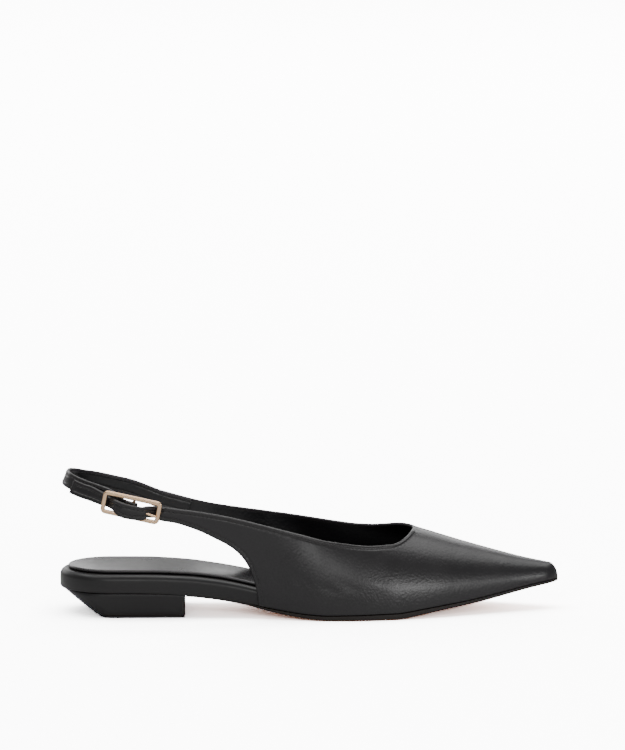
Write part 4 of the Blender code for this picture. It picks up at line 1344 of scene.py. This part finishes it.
def rear_line(side):
    """Just inside the quarter's rear edge, from the strap end down to the sole."""
    edge = rear_edge(side, REAR_STEPS)[:-1]
    points = []
    for point, run in zip(edge, directions(edge)):
        x, height = point + Vector((-run.y, run.x)) * STITCH_FROM_EDGE
        if height > feather_height(x) + STITCH_FROM_SOLE:
            points.append(skin(x, angle_at_height(x, height), side))
    return points


def mouth_line(side):
    """Along the topline, from the strap end to a little past the front of the throat."""
    points = []
    end = THROAT_X + STITCH_FROM_EDGE
    for x in spread(STRAP_END_X, end, 120):
        near = THROAT_X * x / end if x > THROAT_X - THROAT_DEPTH else x
        angle = topline_angle(min(near, THROAT_X), side)
        low = angle - edge_turn(x, angle, side, STITCH_FROM_EDGE)
        points.append(skin(x, min(low, math.pi / 2), side))
    return points


def strap_line(end, face):
    """Along the sling strap, near one edge of one face, as far as its fold."""
    points = []
    for centre, along, width, size in zip(strap_path, directions(strap_path), strap_wide, strap_sizes):
        if size.x < FOLD_WIDTH * 1.15:
            break
        points.append(centre + width * (end * (size.x / 2 - BEAD_WIDTH))
                      + along.cross(width) * (face * size.y / 2))
    return points


def onto_leather(lines, piece):
    """Moves lines onto the outer face of a piece."""
    bm = bmesh.new()
    bm.from_mesh(piece.data)
    tree = BVHTree.FromBMesh(bm)
    bm.free()
    return [[tree.find_nearest(point)[0] for point in line] for line in lines]


upper_lines = [line(side) for line in (rear_line, mouth_line) for side in (OUTER, INNER)]
upper_lines += [[row[0].lerp(row[-1], across) for row in billet_grid] for across in (0.2, 0.8)]
upper_lines = onto_leather(upper_lines, calf_upper)
strap_lines = onto_leather([strap_line(end, face) for end in (1, -1) for face in (1, -1)], calf_strap)
print(len(upper_lines), "lines on the upper,", len(strap_lines), "on the strap")

# %% Thread, sewn by Geometry Nodes
# Waxed thread gives the eye a row of tiny greyish glints beside each edge.
black_thread, _, _ = new_material("waxed_black_thread", "#2A282B", 0.40)
STITCH_INPUTS = {"Line": "Geometry", "Pitch": "Float", "Length": "Float", "Radius": "Float",
                 "Thread": "Material"}
STITCH_VALUES = {"Pitch": STITCH_PITCH, "Length": STITCH_LENGTH, "Radius": STITCH_RADIUS,
                 "Thread": black_thread}


def stitch_tool(name):
    """Node group: resamples a line and lays one rounded stitch at every step."""
    group = bpy.data.node_groups.new(name, "GeometryNodeTree")
    face = group.interface
    inputs = {label: face.new_socket(label, in_out="INPUT", socket_type="NodeSocket" + kind).identifier
              for label, kind in STITCH_INPUTS.items()}
    face.new_socket("Stitches", in_out="OUTPUT", socket_type="NodeSocketGeometry")
    given = group.nodes.new("NodeGroupInput").outputs
    result = group.nodes.new("NodeGroupOutput")
    curve = add_node(group, "GeometryNodeMeshToCurve", i0=given["Line"])
    steps = add_node(group, "GeometryNodeResampleCurve", {"mode": "LENGTH"},
                     Curve=curve.outputs[0], Length=given["Pitch"])
    ball = add_node(group, "GeometryNodeMeshUVSphere", Segments=8, Rings=6, Radius=given["Radius"])
    stretch = add_node(group, "ShaderNodeMath", {"operation": "DIVIDE"},
                       i0=given["Length"], i1=given["Radius"])
    half = add_node(group, "ShaderNodeMath", {"operation": "MULTIPLY"}, i0=stretch.outputs[0], i1=0.5)
    scale = add_node(group, "ShaderNodeCombineXYZ", X=1.0, Y=1.0, Z=half.outputs[0])
    tangent = add_node(group, "GeometryNodeInputTangent")
    turn = add_node(group, "FunctionNodeAlignRotationToVector", {"axis": "Z"},
                    Vector=tangent.outputs[0])
    lay = add_node(group, "GeometryNodeInstanceOnPoints", Points=steps.outputs[0],
                   Instance=ball.outputs[0], Rotation=turn.outputs[0], Scale=scale.outputs[0])
    real = add_node(group, "GeometryNodeRealizeInstances", Geometry=lay.outputs[0])
    paint = add_node(group, "GeometryNodeSetMaterial", Geometry=real.outputs[0],
                     Material=given["Thread"])
    smooth = add_node(group, "GeometryNodeSetShadeSmooth", Geometry=paint.outputs[0])
    group.links.new(smooth.outputs[0], result.inputs[0])
    return group, inputs


def sew(name, lines, tool, inputs):
    """Sews lines and returns the stitches as a plain mesh."""
    mesh = bpy.data.meshes.new(name)
    points, edges = [], []
    for line in lines:
        edges += [(i, i + 1) for i in range(len(points), len(points) + len(line) - 1)]
        points += line
    mesh.from_pydata(points, edges, [])
    piece = add_object(name, mesh)
    modifier = piece.modifiers.new("sew", "NODES")
    modifier.node_group = tool
    for label, value in STITCH_VALUES.items():
        modifier[inputs[label]] = value
    keep_modified(piece)
    report(piece)
    return piece


tool, tool_inputs = stitch_tool("stitch_line")
upper_stitches = sew("upper_stitches", upper_lines, tool, tool_inputs)
strap_stitches = sew("strap_stitches", strap_lines, tool, tool_inputs)

# %% [markdown]
# ## Leather, rubber and metal
#
# Calf leather is dyed black and lightly polished: a soft satin mirror over fine grain, with tiny
# pores that break the reflection. Its inner faces are painted darker, as painted shade inside the
# shoe, and the sock is smoother. The cut sole shows tan leather underneath and black ink on its
# edge. The buckle is polished and plated.

# %% Grain, clouds and tones
GRAIN_SIZE = 1.1 * MM
GRAIN_DEPTH = 0.09 * MM
PORE_SIZE = 0.35 * MM
PORE_SHARE = 0.35
CLOUD_SIZE = 14.0 * MM


def add_grain(tree, shader, strength, size=GRAIN_SIZE):
    """Fine leather grain: soft cells with smaller pores between them."""
    place = add_node(tree, "ShaderNodeTexCoord").outputs["Object"]
    cells = add_node(tree, "ShaderNodeTexVoronoi", {"feature": "SMOOTH_F1"},
                     Vector=place, Scale=1 / size, Smoothness=0.6, Randomness=1.0)
    pores = add_node(tree, "ShaderNodeTexNoise", Vector=place, Scale=1 / PORE_SIZE, Detail=2.0)
    both = add_node(tree, "ShaderNodeMath", {"operation": "MULTIPLY_ADD"},
                    i0=pores.outputs[0], i1=PORE_SHARE, i2=cells.outputs["Distance"])
    bump = add_node(tree, "ShaderNodeBump", Strength=strength, Distance=GRAIN_DEPTH,
                    Height=both.outputs[0])
    tree.links.new(bump.outputs[0], shader.inputs["Normal"])


def remap(tree, value, low, high, new_low=0.0, new_high=1.0):
    """A value carried from one range to another."""
    return add_node(tree, "ShaderNodeMapRange", i0=value, i1=low, i2=high,
                    i3=new_low, i4=new_high).outputs[0]


def add_clouds(tree, shader, low, high, size=CLOUD_SIZE):
    """Roughness that drifts between two limits over the surface."""
    place = add_node(tree, "ShaderNodeTexCoord").outputs["Object"]
    noise = add_node(tree, "ShaderNodeTexNoise", Vector=place, Scale=1 / size, Detail=3.0)
    tree.links.new(remap(tree, noise.outputs[0], 0.35, 0.65, low, high), shader.inputs["Roughness"])


def two_tones(tree, shader, factor, first, second):
    """Base colour that goes from one tone to another."""
    mix = add_node(tree, "ShaderNodeMix", {"data_type": "RGBA"}, i0=factor)
    mix.inputs["A"].default_value = srgb(first)
    mix.inputs["B"].default_value = srgb(second)
    tree.links.new(mix.outputs["Result"], shader.inputs["Base Color"])


print(f"grain of {GRAIN_SIZE / MM} mm, pores of {PORE_SIZE / MM} mm")

# %% Leathers
# The second tone is the calf painted darker, as painted shade for the faces inside the shoe.
CALF, INSIDE_SHADE = "#1B191B", "#0B0A0D"


def leather(name, colour, roughness, grain, coat):
    """Dyed and polished leather: fine grain and a gloss that drifts a little."""
    material, tree, shader = new_material(name, colour, roughness, Coat_Weight=coat,
                                          Coat_Roughness=0.22, Specular_IOR_Level=0.5)
    add_clouds(tree, shader, roughness * 0.9, roughness * 1.12)
    add_grain(tree, shader, grain)
    return material, tree, shader


# Polished calf gives the broad satin streaks over a fine, broken grain.
black_calf, calf_tree, calf_shader = leather("polished_black_calf", CALF, 0.33, 1.0, coat=0.2)
# The inner faces, away from the edges, are painted darker: painted shade inside the shoe and on the strap's
# inward face.
lining = add_node(calf_tree, "ShaderNodeAttribute", {"attribute_name": "lining"})
inset = add_node(calf_tree, "ShaderNodeAttribute", {"attribute_name": "edge_mm"})
painted_inside_shade = add_node(calf_tree, "ShaderNodeMath", {"operation": "MULTIPLY"},
                  i0=lining.outputs["Fac"], i1=remap(calf_tree, inset.outputs["Fac"], 1.3, 1.7))
two_tones(calf_tree, calf_shader, painted_inside_shade.outputs[0], CALF, INSIDE_SHADE)
# The wrap on board and heel is smooth and quiet, and its base is painted darker than the upper's
# calf as painted shade on these low sides; the glazed sock mirrors the light in one sheet.
shaded_wrap_calf, _, _ = leather("smooth_black_wrap_painted_shade", "#141213", 0.40, 0.12, coat=0.12)
sock_calf, _, _ = leather("glazed_sock_leather", "#1D1B1D", 0.30, 0.10, coat=0.35)
print("leathers:", black_calf.name, shaded_wrap_calf.name, sock_calf.name)

# %% Sole leather, rubber and plated metal
TAN, INK = "#A66A45", "#1E1815"

# Tan leather glows warm where the sole faces down; black ink hides it on the cut edge.
tan_sole, sole_tree, sole_shader = new_material("tan_sole_leather", TAN, 0.50)
facing = add_node(sole_tree, "ShaderNodeNewGeometry")
apart = add_node(sole_tree, "ShaderNodeSeparateXYZ", Vector=facing.outputs["True Normal"])
two_tones(sole_tree, sole_shader, remap(sole_tree, apart.outputs["Z"], -0.75, -0.45), TAN, INK)
add_clouds(sole_tree, sole_shader, 0.42, 0.58)
add_grain(sole_tree, sole_shader, 0.15, 0.5 * MM)

# Rubber gives a dull dark line on the floor.
black_rubber, rubber_tree, rubber_shader = new_material("matt_black_rubber", "#1A1817", 0.65)
add_grain(rubber_tree, rubber_shader, 0.2, 0.4 * MM)

# Plating gives a pale warm mirror with slightly cloudy polish.
rose_gold, gold_tree, gold_shader = new_material("rose_gold_plate", "#FFD8B0", 0.16, Metallic=0.88)
add_clouds(gold_tree, gold_shader, 0.10, 0.18, 3.0 * MM)
print(len(bpy.data.materials), "materials")

# %% [markdown]
# ## Putting the shoe together
#
# Every piece already lies in its place. It is tied to the body of the frame, takes the place of
# the node it stands for, and is painted.

# %% Tie, replace and paint
PIECES = (
    (calf_upper, "upper", "upper_leather", black_calf),
    (calf_strap, "sling_strap", "upper_leather", black_calf),
    (wrapped_footbed, "footbed", "wrap_leather", shaded_wrap_calf),
    (padded_sock, "insole_sock", "sock_leather", sock_calf),
    (leather_sole, "outsole", "sole_leather", tan_sole),
    (covered_heel, "heel", "wrap_leather", shaded_wrap_calf),
    (rubber_top_piece, "heel_tip", "tip_rubber", black_rubber),
    (gold_buckle, "buckle_frame", "buckle_metal", rose_gold),
    (gold_prong, "buckle_prong", "buckle_metal", rose_gold),
    (upper_stitches, None, "upper_leather", black_thread),
    (strap_stitches, None, "upper_leather", black_thread),
)
for piece, node, slot, material in PIECES:
    piece.data.materials.clear()
    piece.data.materials.append(material)
    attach(piece, "root")
    if node:
        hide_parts(node)
for name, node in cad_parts.items():
    material = next(row[3] for row in PIECES if row[1] == name)
    for k in range(len(node.material_slots)):
        node.material_slots[k].material = material
print(len(PIECES), "pieces tied to the frame")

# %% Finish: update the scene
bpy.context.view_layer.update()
